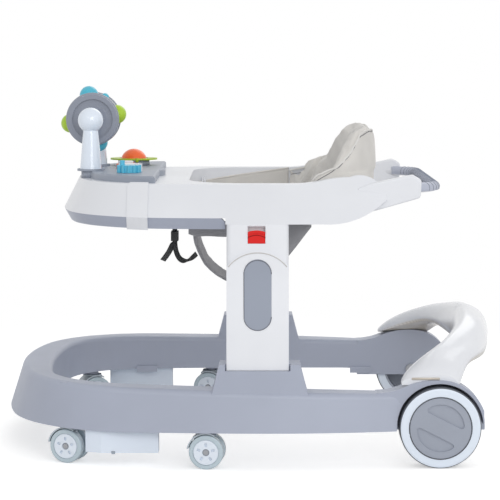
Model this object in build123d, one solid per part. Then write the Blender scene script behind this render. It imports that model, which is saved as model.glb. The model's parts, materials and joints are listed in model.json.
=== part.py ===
from build123d import *
import os
from math import asin, atan2, cos, degrees, hypot, pi, radians, sin

# Baby walker. Millimetres, +Z up, front towards -X, the child's left side towards -Y.
# The origin lies on the floor under the middle of the walker.

# General
WALL = 3.5                  # moulded wall of the large shells
THIN_WALL = 3.0             # moulded wall of columns and tray
FIT = 0.3                   # gap between parts that slide or drop into each other
PIN_FIT = 0.05              # radial gap of a pin in its bore
REACH = 1000.0              # longer than the walker, for cuts that pass right through

# Horseshoe plans
WIDEST_X = 30.0             # where base and tray are widest
CORNER_END = 84.0           # degrees turned where a front corner runs into the side

# Base ring
BASE_FRONT = 359.0
BASE_HALF_WIDTH = 291.0
BASE_FRONT_RADIUS = 520.0
BASE_FRONT_SWEEP = 14.0
BASE_SIDE_RADIUS = 900.0
BASE_BOTTOM = 52.0
BASE_TOP_MIDDLE = 109.5     # rail top above X = -60
BASE_TOP_MIDDLE_X = -60.0
BASE_TOP_RISE = 0.0232      # rise of the rail top per mm towards the front
BASE_LOFT_TOP = 125.0       # level of the upper plan, above every rail top
BASE_FRONT_DRAFT = 23.0     # how far the front leans in, up to the upper plan
BASE_SIDE_DRAFT = 12.0
BASE_INNER_FRONT = 294.0
RAIL_WIDTH = 55.0           # of the side rails at their foot
BASE_INNER_HALF_WIDTH = BASE_HALF_WIDTH - RAIL_WIDTH
BASE_INNER_FRONT_RADIUS = 900.0
BASE_INNER_SWEEP = 8.0
BASE_INNER_BOTTOM = 59.0    # lower edge of the inner wall
BASE_OUTER_ROUND = 9.0
BASE_INNER_ROUND = 7.0

# Rear wheels and their arches
WHEEL_X = 263.5
WHEEL_RADIUS = 56.7
WHEEL_SET_IN = 49.0         # inner side of the wheel, from the widest line of the base
WHEEL_INNER_Y = BASE_HALF_WIDTH - WHEEL_SET_IN
WHEEL_WIDTH = 35.0
TYRE_DEPTH = 13.5
TYRE_ROUND = 4.0
HUB_DISH = 2.5
HUB_BAR = 24.0              # bar between the two recesses of the hub
HUB_BAR_TILT = -27.0
HUB_RIM = 10.0
HUB_POCKET_ROUND = 4.0
AXLE_RADIUS = 5.0
AXLE_HEAD = 9.0
AXLE_HEAD_DEPTH = 3.0
ARCH_PANEL = 4.0
ARCH_CLEARANCE = 2.0        # between the wheel's inner side and the arch panel
ARCH_BAND = 4.6             # radial thickness of the fender
ARCH_GAP = 3.7              # gap between tyre and fender
ARCH_WIDTH = 31.0
ARCH_RAMP_START = 175.0
ARCH_RAMP_LENGTH = 80.0
ARCH_PANEL_BOTTOM = 48.0
ARCH_BAND_END = 20.0        # degrees above the axle where the fender stops

# Casters
CASTER_RADIUS = 24.0
CASTER_TRAIL = 4.0
CASTER_WHEEL_INNER = 4.6
CASTER_WHEEL_WIDTH = 12.0
CASTER_WEB = 8.0
CASTER_ROUND = 2.0
CASTER_GROOVE = 18.2        # outer radius of the groove inside the tread
CASTER_GROOVE_WIDTH = 1.0
CASTER_GROOVE_DEPTH = 1.5
CASTER_SLOTS = 5
CASTER_SLOT_ORBIT = 10.5
CASTER_SLOT_LENGTH = 5.0
CASTER_SLOT_WIDTH = 3.4
CASTER_SLOT_ROUND = 0.8
CASTER_SLOT_DEPTH = 3.0
CASTER_SLOT_TURN = 18.0
CASTER_DIMPLE_RADIUS = 5.0
CASTER_DIMPLE_DEPTH = 1.2
CASTER_PIN_HEAD = 3.6
CASTER_PIN_HEAD_DEPTH = 1.0
CASTER_FENDER_GAP = 1.2
CASTER_FENDER = 2.0
CASTER_FENDER_SPREAD = ((60.0, 120.0), (-120.0, 120.0), (-120.0, 22.0))  # seen from the axle
CASTER_STEM_RADIUS = 5.0
CASTER_STEM_LENGTH = 28.0
CASTER_AXLE_RADIUS = 2.5
CASTER_CAP_RADIUS = 15.0
CASTER_CAP_GAP = 0.5        # under the rail
CASTER_BOSS_RADIUS = 10.0
CASTER_FRONT_Y = BASE_HALF_WIDTH - 70.0
CASTER_MID_Y = BASE_HALF_WIDTH - 25.0
CASTERS = {                 # swivel X, swivel Y, yaw of the trail in the rest position
    "caster_front_left": (-257.0, -CASTER_FRONT_Y, -20.0),
    "caster_front_right": (-257.0, CASTER_FRONT_Y, 20.0),
    "caster_mid_left": (-63.0, -CASTER_MID_Y, -7.0),
    "caster_mid_right": (-63.0, CASTER_MID_Y, 172.0),
}

# Brake boxes under the rail
BOX_FRONT_X = -229.0
BOX_REAR_X = -127.0
BOX_OUTER_Y = BASE_HALF_WIDTH - 25.0
BOX_WIDTH = 24.0
BOX_INNER_Y = BOX_OUTER_Y - BOX_WIDTH
BOX_BOTTOM = 20.0
BOX_TOP = 62.0
BOX_WALL = 2.5
BOX_FLANGE = 3.0
STRIP_X = -190.0
STRIP_WIDTH = 5.0
STRIP_DEPTH = 4.0
STRIP_PROUD = 1.5           # below the box
CLIP_LENGTH = 33.0
CLIP_HEIGHT = 10.0
CLIP_DEPTH = 3.0
CLIPS = ((-168.0, 54.0), (180.0, 51.0))   # X and lower edge

# Columns, their sockets and the masts inside
TRAY_SET_IN = 41.0          # lower edge of the tray, from the widest line of the base
TRAY_HALF_WIDTH = BASE_HALF_WIDTH - TRAY_SET_IN
COLUMN_X = 10.5
COLUMN_WIDTH = 86.0
COLUMN_FOOT_Z = 106.0
COLUMN_LOW_Z = 137.0        # lean starts here, level with the socket's outer lip
COLUMN_TOP_Z = 337.0
COLUMN_LOW_DEPTH = 30.0
COLUMN_TOP_DEPTH = 37.0
COLUMN_LOW_OUTER = BASE_HALF_WIDTH - 20.0
COLUMN_TOP_OUTER = TRAY_HALF_WIDTH
COLUMN_LOW_INNER = COLUMN_LOW_OUTER - COLUMN_LOW_DEPTH
COLUMN_TOP_INNER = COLUMN_TOP_OUTER - COLUMN_TOP_DEPTH
COLUMN_ROUND = 6.0
COLUMN_CAP = 4.0
PAD_DEPTH = 4.5
PAD_SHOULDER = 142.0
PAD_TOP = 165.0
INSET_WIDTH = 38.0
INSET_HEIGHT = 98.0
INSET_DEPTH = 2.2
INSET_CENTRE = 104.0        # along the leaning face, above COLUMN_LOW_Z
SOCKET_BASE_WIDTH = 135.0
SOCKET_BASE_X = 13.5
SOCKET_TOP_WIDTH = 111.0
SOCKET_TOP_Z = 146.0
SOCKET_OUTER_Y = BASE_HALF_WIDTH - 10.5
SOCKET_ROOT_Z = 100.0
MAST_WIDTH = 62.0
MAST_INNER_Y = TRAY_HALF_WIDTH - 17.5
MAST_DEPTH = 10.0
MAST_BOTTOM_Z = 225.0
MAST_FLANGE = 4.0
MAST_FLANGE_DEPTH = 38.0
MAST_NOTCH = 3.0
TRAY_LEVEL_STEP = 20.0
TRAY_LEVELS = 3

# Latch slider in each column
LATCH_X = 9.0
LATCH_WIDTH = 24.0
LATCH_HEIGHT = 18.0
LATCH_TRAVEL = 6.0
LATCH_BOTTOM = 175.0        # along the leaning face, above COLUMN_LOW_Z
LATCH_PROUD = 1.6
LATCH_TAIL = 1.6
LATCH_TAIL_LAP = 4.0
LATCH_LEG_WIDTH = 10.0
LATCH_LEG_BOTTOM = 147.0
LATCH_FOOT = 3.0
SPRING_RADIUS = 2.3
SPRING_BORE = 1.3
SPRING_LENGTH = 16.0
SPRING_OFFSET = 10.0        # beside the leg

# Tray
TRAY_LOW_Z = 337.0
TRAY_RIM_Z = 390.0
TRAY_HIGH_Z = 402.0
TRAY_FRONT = 281.0
TRAY_FRONT_RADIUS = 430.0
TRAY_FRONT_SWEEP = 15.0
TRAY_SIDE_RADIUS = 1100.0
TRAY_FRONT_SLOPE = 0.51
TRAY_SIDE_SLOPE = 0.70
TRAY_REAR = 191.0
TRAY_FRONT_LOW = 345.0      # lower edge of the front, above the under-band
TRAY_WING_X = 140.0
TRAY_WING_TOP = 399.0
TRAY_WING_RISE_X = 60.0
OPENING_FRONT = 88.0
TRAY_SIDE = 63.0            # from the tray's lower edge in to the seat opening
OPENING_HALF_WIDTH = TRAY_HALF_WIDTH - TRAY_SIDE
OPENING_CORNER = 80.0
BAND_REAR_X = -34.0
BAND_BOTTOM = 329.0
BAND_UNDERCUT = 9.0
BAND_DEPTH = 14.0
STRAP_X = -157.5
STRAP_WIDTH = 30.0
STRAP_THICKNESS = 2.0
STRAP_BOTTOM = 327.0
STRAP_LAP = 20.0

# Push handle
HANDLE_REAR = 271.0
HANDLE_HALF_WIDTH = TRAY_HALF_WIDTH - 38.0
HANDLE_CORNER = 60.0
HANDLE_Z = 383.0            # middle of the loop
ARM_THICKNESS = 18.0
ARM_ROUND = 6.0
ARM_EDGE = 2.5
ARM_PROFILE = (             # side view of an arm, X and Z
    (150.0, 384.0),
    (169.0, 391.0),
    (228.0, 403.0),
    (240.0, 396.0),
    (239.0, 371.0),
    (190.0, 357.0),
    (150.0, 346.0),
)
BAR_START = 190.0
BAR_HEIGHT = 12.0
BAR_THICKNESS = 14.0
GRIP_THICKNESS = 2.2
GRIP_START = 226.0
GRIP_BOTTOM = 379.0         # the grip leaves the underside of the bar bare

# Toy panel and toys
PANEL_REAR = -134.0
PANEL_MARGIN = 13.0
PANEL_TOP = 400.0
PANEL_ROUND = 3.5
PANEL_BULGE_X = -215.0
PANEL_BULGE_RADIUS = 88.0
SPINNER_X = -234.0
SPINNER_Z = 474.0
POST_Y = 60.0
POST_BOSS = 3.0
POST_BASE_RADIUS = 16.0
POST_NECK_RADIUS = 11.0
POST_HEAD_RADIUS = 18.7
DISC_RADIUS = 39.5
DISC_Y = 17.0
DISC_THICKNESS = 9.0
DISC_DISH = 4.0
DISC_DISH_RADIUS = 30.0
DISC_ROUND = 3.0
KNOB_RADIUS = 14.0
KNOB_ORBIT = 35.5
SPINNER_AXLE_RADIUS = 4.0
SPINNER_CORE_RADIUS = 22.0
BEAD_RADIUS = 6.0
BEAD_ANGLE = 62.0
KNOB_ANGLES = {"blue": (101.0, 281.0), "green": (11.0, 191.0)}
GEAR_X = -175.0
GEAR_Y = -108.0
GEAR_TEETH = 12
GEAR_TOOTH_RADIUS = 1.9
GEAR_TOOTH_ORBIT = 15.8
GEAR_BODY_RADIUS = 14.4
GEAR_CENTRE_DISTANCE = 33.0
GEAR_HEIGHT = 11.0
GEAR_PIN_RADIUS = 3.0
PEG_RADIUS = 3.6
PEG_HEIGHT = 7.0
PEG_ORBIT = 9.5
SQUEAKER_X = -186.0
SQUEAKER_Y = -8.0
SQUEAKER_RADIUS = 14.0
SQUEAKER_CUP = 7.0
SQUEAKER_CAP = 11.5
SQUEAKER_TRAVEL = 3.0
BALL_X = -179.0
BALL_Y = 82.0
BALL_RADIUS = 20.5
BALL_Z = 404.5
BALL_GAP = 1.2
BALL_PIN_RADIUS = 2.0
BALL_PIN_LENGTH = 4.0
LEAF_LENGTH = 72.0
LEAF_WIDTH = 56.0
LEAF_THICKNESS = 2.5

# Rear bow: upright slices of its left half, each from its front foot over the top to its rear foot
BOW_END = BASE_HALF_WIDTH - 29.0    # outer side of a leg, on the arch
BOW_SLICES = (              # distance in from the outer side, then X and Z of the points
    (0.0, (211, 115), (210, 117), (222, 124), (255, 129), (286, 121), (290, 115)),
    (17.0, (214, 118), (213, 121), (229, 137), (262, 143), (293, 131), (295, 121)),
    (40.0, (232, 127), (230, 131), (249, 152), (278, 152), (302, 141), (302, 130)),
    (67.0, (258, 138), (255, 143), (272, 164), (296, 160), (316, 148), (311, 135)),
    (107.0, (281, 147), (278, 155), (294, 175), (316, 168), (332, 151), (324, 134)),
    (152.0, (295, 147), (291, 159), (310, 183), (332, 175), (344, 153), (336, 131)),
    (202.0, (304, 144), (300, 163), (318, 190), (341, 181), (352, 153), (347, 128)),
    (BOW_END, (308, 142), (304, 165), (322, 193), (347, 184), (358.86, 155), (354, 126)),
)

# Seat
SEAT_FRONT_X = 62.0
SEAT_REAR_X = 182.0
SEAT_HALF_WIDTH = OPENING_HALF_WIDTH - 2 * FIT
SEAT_CORNER = 125.0
SEAT_BOTTOM_Z = 345.0
SEAT_HEM = 3.0              # how far the lower edge draws in on both faces
SEAT_SHOULDER = 0.45        # height of the rounded top edge as a share of the padding
SEAT_CORNER_STATIONS = (    # degrees round the corner, padding, growth towards the hem, top level
    (2.3, 13.0, 2.0, 391.0),
    (16.0, 19.0, 5.0, 404.5),
    (29.0, 21.0, 9.0, 418.0),
    (42.0, 23.0, 14.0, 437.0),
    (55.0, 25.0, 19.0, 466.0),
    (68.0, 26.0, 21.0, 473.0),
    (81.0, 26.0, 22.0, 474.0),
)
SEAT_REAR_STATIONS = (      # Y on the back, the rest alike
    (-45.0, 25.0, 22.0, 474.0),
    (0.0, 24.0, 22.0, 474.0),
)
LINER_THICKNESS = 2.5
LINER_BOTTOM = 341.0
LINER_FRONT_TOP = 369.0     # the upper edge falls to here at the front
SLING_THICKNESS = 6.0
SLING_FRONT_X = -OPENING_FRONT + LINER_THICKNESS + 2 * FIT
SLING_FRONT_TOP = 360.0
SLING_BEND_Z = 304.0        # the front hangs straight down to here
SLING_LOW_X = 2.0
SLING_LOW_Z = 224.0
SLING_RISE_X = 92.0         # the rear runs level under the seat back from here
SLING_FRONT_BELLY = (-60.0, 250.0)
SLING_REAR_BELLY = (52.0, 282.0)
SLING_REAR_X = 160.0
SLING_REAR_Z = SEAT_BOTTOM_Z - FIT - SLING_THICKNESS
SLING_CROTCH_WIDTH = 90.0
SLING_FRONT_WIDTH = 138.0
SLING_REAR_WIDTH = 200.0
WEBBING = 1.6
WEBBING_WIDTH = 20.0
WEBBING_HANG_X = -114.0
WEBBING_LOOP = (-100.0, 260.0)      # lowest point of the loop, X and Z
WEBBING_END = (-74.0, 272.0)
WEBBING_TAIL = (-131.0, 261.0)
BUCKLE_Z = 298.0
BUCKLE_HEIGHT = 14.0
BUCKLE_DEPTH = 11.0
BUCKLE_SIDE = 3.0
BUCKLE_GAP = 0.2

TYRE_INNER = WHEEL_RADIUS - TYRE_DEPTH
WELL_RADIUS = WHEEL_RADIUS + ARCH_GAP
ARCH_RADIUS = WELL_RADIUS + ARCH_BAND
ARCH_INNER_Y = WHEEL_INNER_Y - ARCH_CLEARANCE - ARCH_PANEL
WHEEL_OUTER_Y = WHEEL_INNER_Y + WHEEL_WIDTH
COLUMN_RISE = COLUMN_TOP_Z - COLUMN_LOW_Z
LEAN = atan2(COLUMN_LOW_OUTER - COLUMN_TOP_OUTER, COLUMN_RISE)
CASTER_TOP = BASE_BOTTOM - CASTER_CAP_GAP


def rail_top(x):
    """Level of the rail top at x."""
    return BASE_TOP_MIDDLE - BASE_TOP_RISE * (x - BASE_TOP_MIDDLE_X)


def horseshoe(front, half_width, front_radius, front_sweep, side_radius, rear, inset=0.0):
    """Plan of a horseshoe: front arc, corner arcs, sides bowed or straight, cut square at the rear."""
    tip = front - inset
    half = half_width - inset
    nose = front_radius - inset
    start = radians(front_sweep)
    end = radians(CORNER_END)
    ease = (1 - sin(end)) / cos(end)
    reach = WIDEST_X + tip - nose * (1 - cos(start))
    spread = sin(end) - sin(start) - ease * (cos(start) - cos(end))
    corner_radius = (half - nose * sin(start) - ease * reach) / spread
    flank = (reach - corner_radius * (cos(start) - cos(end))) / cos(end)
    first = JernArc((-tip, 0), (0, -1), nose, front_sweep)
    corner = JernArc(first @ 1, first % 1, corner_radius, CORNER_END - front_sweep)
    side = JernArc(corner @ 1, corner % 1, flank, 90 - CORNER_END)
    if side_radius:
        tail_radius = side_radius - inset
        tail = JernArc(side @ 1, side % 1, tail_radius, degrees(asin((rear - WIDEST_X) / tail_radius)))
    else:
        tail = Line(side @ 1, (rear, (side @ 1).Y))
    left = Curve() + [first, corner, side, tail]
    last = tail @ 1
    closing = Line((last.X, last.Y), (last.X, -last.Y))
    return make_face(left + mirror(left, about=Plane.XZ) + closing)


def box_between(x0, x1, y0, y1, z0, z1):
    """Box given by its corner coordinates."""
    size = Box(x1 - x0, y1 - y0, z1 - z0)
    return Pos((x0 + x1) / 2, (y0 + y1) / 2, (z0 + z1) / 2) * size


def side_plate(face, inner, outer):
    """Extrude a side-view face outwards on the left side, between two distances from the middle."""
    return extrude(Plane.XZ.offset(inner) * face, outer - inner)


def across(face, half):
    """Extrude a side-view face over the whole width."""
    return extrude(Plane.XZ.offset(-half) * face, 2 * half)


def cross_pin(radius, x, z, inner, outer):
    """Cylinder along Y on the left side, between two distances from the middle."""
    return side_plate(Pos(x, z) * Circle(radius), inner, outer)


def other_side(shape):
    return mirror(shape, about=Plane.XZ)


def save(name, shape):
    export_step(shape, f"parts/{name}.step")


def save_pair(name, left):
    save(f"{name}_left", left)
    save(f"{name}_right", other_side(left))


# Base ring

def base_plan(level, inset=0.0):
    share = (level - BASE_BOTTOM) / (BASE_LOFT_TOP - BASE_BOTTOM)
    face = horseshoe(
        BASE_FRONT - BASE_FRONT_DRAFT * share,
        BASE_HALF_WIDTH - BASE_SIDE_DRAFT * share,
        BASE_FRONT_RADIUS,
        BASE_FRONT_SWEEP,
        BASE_SIDE_RADIUS,
        WHEEL_X,
        inset,
    )
    return Pos(0, 0, level) * face


def base_inner_plan(inset=0.0):
    return horseshoe(
        BASE_INNER_FRONT,
        BASE_INNER_HALF_WIDTH,
        BASE_INNER_FRONT_RADIUS,
        BASE_INNER_SWEEP,
        None,
        WHEEL_X + 1,
        inset,
    )


def rail_channel(inset):
    """Rail between its outer and inner walls, drawn in on all sides by the inset."""
    low = BASE_BOTTOM - inset
    outer = loft([base_plan(low, inset), base_plan(BASE_LOFT_TOP, inset)], ruled=True)
    inner = extrude(base_inner_plan(-inset), BASE_LOFT_TOP + 10)
    roof = Plane(
        origin=(BASE_TOP_MIDDLE_X, 0, BASE_TOP_MIDDLE - inset),
        x_dir=(1, 0, -BASE_TOP_RISE),
        z_dir=(BASE_TOP_RISE, 0, 1),
    )
    return split(outer - inner, bisect_by=roof, keep=Keep.BOTTOM)


def rounded_rail():
    rail = rail_channel(0.0)
    roof = rail.faces().filter_by(lambda f: f.normal_at().Z > 0.9).sort_by(SortBy.AREA)[-1]
    edges = roof.edges().filter_by(lambda e: e.center().X < WHEEL_X - 2)
    inside = BASE_INNER_HALF_WIDTH + 2
    outer = edges.filter_by(lambda e: not (abs(e.center().Y) < inside and e.center().X > -BASE_INNER_FRONT - 2))
    rail = fillet(outer, BASE_OUTER_ROUND)
    roof = rail.faces().filter_by(lambda f: f.normal_at().Z > 0.9).sort_by(SortBy.AREA)[-1]
    edges = roof.edges().filter_by(lambda e: e.center().X < WHEEL_X - 2)
    inner = edges.filter_by(lambda e: abs(e.center().Y) < inside and e.center().X > -BASE_INNER_FRONT - 2)
    return fillet(inner, BASE_INNER_ROUND)


def arch_face(rear_sweep, bottom):
    """Side view of a wheel arch, filled: ramp from the rail top, flat crown, round rear."""
    low = rail_top(ARCH_RAMP_START)
    crown = WHEEL_RADIUS + ARCH_RADIUS
    rise = crown - low
    radius = (ARCH_RAMP_LENGTH ** 2 + rise ** 2) / (4 * rise)
    turn = degrees(2 * atan2(rise, ARCH_RAMP_LENGTH))
    up = JernArc((ARCH_RAMP_START, low), (1, 0), radius, turn)
    level = JernArc(up @ 1, up % 1, radius, -turn)
    crest = Line(level @ 1, (WHEEL_X, crown))
    rear = JernArc((WHEEL_X, crown), (1, 0), ARCH_RADIUS, -rear_sweep)
    tip = rear @ 1
    rest = Polyline((tip.X, tip.Y), (tip.X, bottom), (ARCH_RAMP_START, bottom), (ARCH_RAMP_START, low))
    return make_face(Curve() + [up, level, crest, rear, rest])


def wheel_well():
    return cross_pin(WELL_RADIUS, WHEEL_X, WHEEL_RADIUS, ARCH_INNER_Y + ARCH_PANEL, BASE_HALF_WIDTH + 20)


def arch():
    panel = side_plate(arch_face(90.0, ARCH_PANEL_BOTTOM), ARCH_INNER_Y, ARCH_INNER_Y + ARCH_PANEL)
    band_face = arch_face(90 - ARCH_BAND_END, BASE_BOTTOM + 8)
    band = side_plate(band_face, ARCH_INNER_Y + ARCH_PANEL, ARCH_INNER_Y + ARCH_WIDTH)
    return panel + band


def column_footprint(gap, low, high):
    """Space that the column's foot takes in its socket."""
    half = COLUMN_WIDTH / 2 + gap
    outer = COLUMN_LOW_OUTER + PAD_DEPTH + gap
    return box_between(COLUMN_X - half, COLUMN_X + half, -outer, -COLUMN_LOW_INNER + gap, low, high)


def socket():
    base = SOCKET_BASE_WIDTH / 2
    top = SOCKET_TOP_WIDTH / 2
    face = make_face(Polyline(
        (SOCKET_BASE_X - base, SOCKET_ROOT_Z),
        (SOCKET_BASE_X + base, SOCKET_ROOT_Z),
        (SOCKET_BASE_X + top, SOCKET_TOP_Z),
        (SOCKET_BASE_X - top, SOCKET_TOP_Z),
        close=True,
    ))
    block = side_plate(face, BASE_INNER_HALF_WIDTH, SOCKET_OUTER_Y)
    notch_half = COLUMN_WIDTH / 2 + 2
    notch = box_between(
        COLUMN_X - notch_half,
        COLUMN_X + notch_half,
        -SOCKET_OUTER_Y - 1,
        -COLUMN_LOW_OUTER,
        COLUMN_LOW_Z,
        SOCKET_TOP_Z + 1,
    )
    return block - notch


def caster_boss(x, y):
    top = rail_top(x) - 1
    boss = Pos(x, y, (BASE_BOTTOM + top) / 2) * Cylinder(CASTER_BOSS_RADIUS, top - BASE_BOTTOM)
    depth = CASTER_STEM_LENGTH + CASTER_CAP_GAP + 1
    bore = Pos(x, y, BASE_BOTTOM + depth / 2) * Cylinder(CASTER_STEM_RADIUS + PIN_FIT, depth)
    return boss, bore


def base_ring():
    envelope = rail_channel(0.0)
    ring = rounded_rail()
    hollow = rail_channel(WALL)
    well_wall = cross_pin(WELL_RADIUS + WALL, WHEEL_X, WHEEL_RADIUS, 0, BASE_HALF_WIDTH + 20)
    hollow = hollow - well_wall - other_side(well_wall)
    ring = ring - hollow
    left = arch() + socket()
    ring = ring + left + other_side(left)
    leaning = loft([column_section(COLUMN_LOW_Z, -FIT), column_section(COLUMN_TOP_Z, -FIT)], ruled=True)
    foot = column_footprint(FIT, COLUMN_FOOT_Z, SOCKET_TOP_Z + 10) + leaning
    ring = ring - foot - other_side(foot)
    floor_half = COLUMN_WIDTH / 2 + WALL
    floor = box_between(
        COLUMN_X - floor_half,
        COLUMN_X + floor_half,
        -SOCKET_OUTER_Y + 1,
        -BASE_INNER_HALF_WIDTH,
        COLUMN_FOOT_Z - WALL,
        COLUMN_FOOT_Z,
    )
    ring = ring + floor + other_side(floor)
    well = wheel_well()
    ring = ring - well - other_side(well)
    for x, y, yaw in CASTERS.values():
        boss, bore = caster_boss(x, y)
        ring = ring + (boss & envelope) - bore
    skirt = box_between(
        -BASE_INNER_FRONT - 10,
        ARCH_RAMP_START,
        -BASE_INNER_HALF_WIDTH - WALL - 0.2,
        BASE_INNER_HALF_WIDTH + WALL + 0.2,
        0,
        BASE_INNER_BOTTOM,
    )
    keep_front = extrude(base_inner_plan(-WALL - 0.2), BASE_INNER_BOTTOM)
    ring = ring - (skirt & keep_front)
    journal = cross_pin(AXLE_RADIUS + PIN_FIT, WHEEL_X, WHEEL_RADIUS, ARCH_INNER_Y - 1, ARCH_INNER_Y + 10)
    return ring - journal - other_side(journal)


# Rear wheels

def tyre():
    ring = cross_pin(WHEEL_RADIUS, WHEEL_X, WHEEL_RADIUS, WHEEL_INNER_Y, WHEEL_OUTER_Y)
    ring = fillet(ring.edges().filter_by(GeomType.CIRCLE), TYRE_ROUND)
    bore = cross_pin(TYRE_INNER + PIN_FIT, WHEEL_X, WHEEL_RADIUS, WHEEL_INNER_Y - 1, WHEEL_OUTER_Y + 1)
    return ring - bore


def hub():
    disc = cross_pin(TYRE_INNER, WHEEL_X, WHEEL_RADIUS, WHEEL_INNER_Y, WHEEL_OUTER_Y)
    pocket_face = Circle(TYRE_INNER - HUB_RIM) - Rot(0, 0, HUB_BAR_TILT) * Rectangle(4 * TYRE_INNER, HUB_BAR)
    pocket_face = Pos(WHEEL_X, WHEEL_RADIUS) * fillet(pocket_face.vertices(), HUB_POCKET_ROUND)
    recess = side_plate(pocket_face, WHEEL_OUTER_Y - HUB_DISH, WHEEL_OUTER_Y + 1)
    back_face = Circle(TYRE_INNER - THIN_WALL) - Circle(AXLE_RADIUS + THIN_WALL)
    back = side_plate(
        Pos(WHEEL_X, WHEEL_RADIUS) * back_face,
        WHEEL_INNER_Y - 1,
        WHEEL_OUTER_Y - HUB_DISH - THIN_WALL,
    )
    bore = cross_pin(AXLE_RADIUS + PIN_FIT, WHEEL_X, WHEEL_RADIUS, WHEEL_INNER_Y - 1, WHEEL_OUTER_Y - THIN_WALL)
    return disc - recess - back - bore


def rear_axle():
    seat = ARCH_INNER_Y - FIT
    pin = cross_pin(AXLE_RADIUS, WHEEL_X, WHEEL_RADIUS, seat, WHEEL_OUTER_Y - THIN_WALL - FIT)
    head = cross_pin(AXLE_HEAD, WHEEL_X, WHEEL_RADIUS, seat - AXLE_HEAD_DEPTH, seat)
    return pin + head


# Casters, built round their swivel axis with the trail towards +X

def caster_place(name):
    x, y, yaw = CASTERS[name]
    return Pos(x, y, 0) * Rot(0, 0, yaw)


def caster_hood():
    inner = CASTER_RADIUS + CASTER_FENDER_GAP
    outer = inner + CASTER_FENDER
    ring = Circle(outer) - Circle(inner)
    wedge = make_face(Polyline((0, 0), *CASTER_FENDER_SPREAD, close=True))
    fender = Pos(CASTER_TRAIL, CASTER_RADIUS) * (ring & wedge)
    half = CASTER_WHEEL_INNER + CASTER_WHEEL_WIDTH
    hood = across(fender, half)
    web = make_face(Polyline(
        (CASTER_TRAIL - 8, CASTER_RADIUS - 5),
        (CASTER_TRAIL + 8, CASTER_RADIUS - 5),
        (CASTER_TRAIL + 11, CASTER_TOP - 2),
        (CASTER_TRAIL - 20, CASTER_TOP - 8),
        close=True,
    ))
    hood = hood + across(web, CASTER_WEB / 2)
    bore = across(Pos(CASTER_TRAIL, CASTER_RADIUS) * Circle(CASTER_AXLE_RADIUS + PIN_FIT), half)
    cap_low = CASTER_RADIUS + inner + CASTER_FENDER / 2
    cap = Pos(0, 0, (cap_low + CASTER_TOP) / 2) * Cylinder(CASTER_CAP_RADIUS, CASTER_TOP - cap_low)
    stem = Pos(0, 0, CASTER_TOP + CASTER_STEM_LENGTH / 2) * Cylinder(CASTER_STEM_RADIUS, CASTER_STEM_LENGTH)
    return hood + cap + stem - bore


def caster_wheels():
    """Two wheels, dished on the outside, with five slots round the hub and a groove inside the tread."""
    width = CASTER_WHEEL_WIDTH
    blank = Pos(0, 0, width / 2) * Cylinder(CASTER_RADIUS, width)
    blank = fillet(blank.edges().filter_by(GeomType.CIRCLE), CASTER_ROUND)
    groove = Circle(CASTER_GROOVE) - Circle(CASTER_GROOVE - CASTER_GROOVE_WIDTH)
    blank = blank - Pos(0, 0, width - CASTER_GROOVE_DEPTH) * extrude(groove, width)
    slot = RectangleRounded(CASTER_SLOT_LENGTH, CASTER_SLOT_WIDTH, CASTER_SLOT_ROUND)
    slot = Pos(CASTER_SLOT_ORBIT, 0) * slot
    for index in range(CASTER_SLOTS):
        turn = Rot(0, 0, 360 / CASTER_SLOTS * index + CASTER_SLOT_TURN)
        blank = blank - Pos(0, 0, width - CASTER_SLOT_DEPTH) * extrude(turn * slot, width)
    blank = blank - Pos(0, 0, width - CASTER_DIMPLE_DEPTH) * extrude(Circle(CASTER_DIMPLE_RADIUS), width)
    blank = blank - Pos(0, 0, width / 2) * Cylinder(CASTER_AXLE_RADIUS + PIN_FIT, width + 2)
    near = Pos(CASTER_TRAIL, -CASTER_WHEEL_INNER, CASTER_RADIUS) * Rot(90, 0, 0) * blank
    return Compound(children=[near, other_side(near)])


def caster_axle():
    half = CASTER_WHEEL_INNER + CASTER_WHEEL_WIDTH
    pin = across(Pos(CASTER_TRAIL, CASTER_RADIUS) * Circle(CASTER_AXLE_RADIUS), half)
    low = half - CASTER_DIMPLE_DEPTH
    face = Pos(CASTER_TRAIL, CASTER_RADIUS) * Circle(CASTER_PIN_HEAD)
    head = side_plate(face, low, low + CASTER_PIN_HEAD_DEPTH)
    return pin + head + other_side(head)


# Brake boxes

def box_block(wall, low, high):
    """Space of the box, drawn in by a wall, as far as the outer wall of the rail lets it reach."""
    block = box_between(
        BOX_FRONT_X + wall,
        BOX_REAR_X - wall,
        -BOX_OUTER_Y + wall,
        -BOX_INNER_Y - wall,
        low,
        high,
    )
    room = Pos(0, 0, -BOX_TOP) * base_plan(BOX_TOP, WALL + FIT + wall)
    return block & extrude(room, high)


def brake_box():
    inside = box_block(BOX_WALL, BOX_BOTTOM + BOX_WALL + STRIP_DEPTH, BOX_TOP + 1)
    return box_block(0.0, BOX_BOTTOM, BOX_TOP) + box_flange() - inside - brake_strip(FIT)


def box_flange():
    """Flange that fills the rail channel from wall to wall."""
    outer = extrude(base_plan(BOX_TOP, WALL + FIT), -BOX_FLANGE)
    inner = extrude(base_inner_plan(-WALL - FIT), BOX_TOP + 1)
    side = box_between(BOX_FRONT_X, BOX_REAR_X, -BASE_HALF_WIDTH, 0, BASE_BOTTOM, BOX_TOP)
    return (outer - inner) & side


def brake_strip(gap=0.0):
    half = STRIP_WIDTH / 2 + gap
    return box_between(
        STRIP_X - half,
        STRIP_X + half,
        -BOX_OUTER_Y,
        -BOX_INNER_Y,
        BOX_BOTTOM - STRIP_PROUD,
        BOX_BOTTOM + STRIP_DEPTH - STRIP_PROUD + gap,
    )


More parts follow.
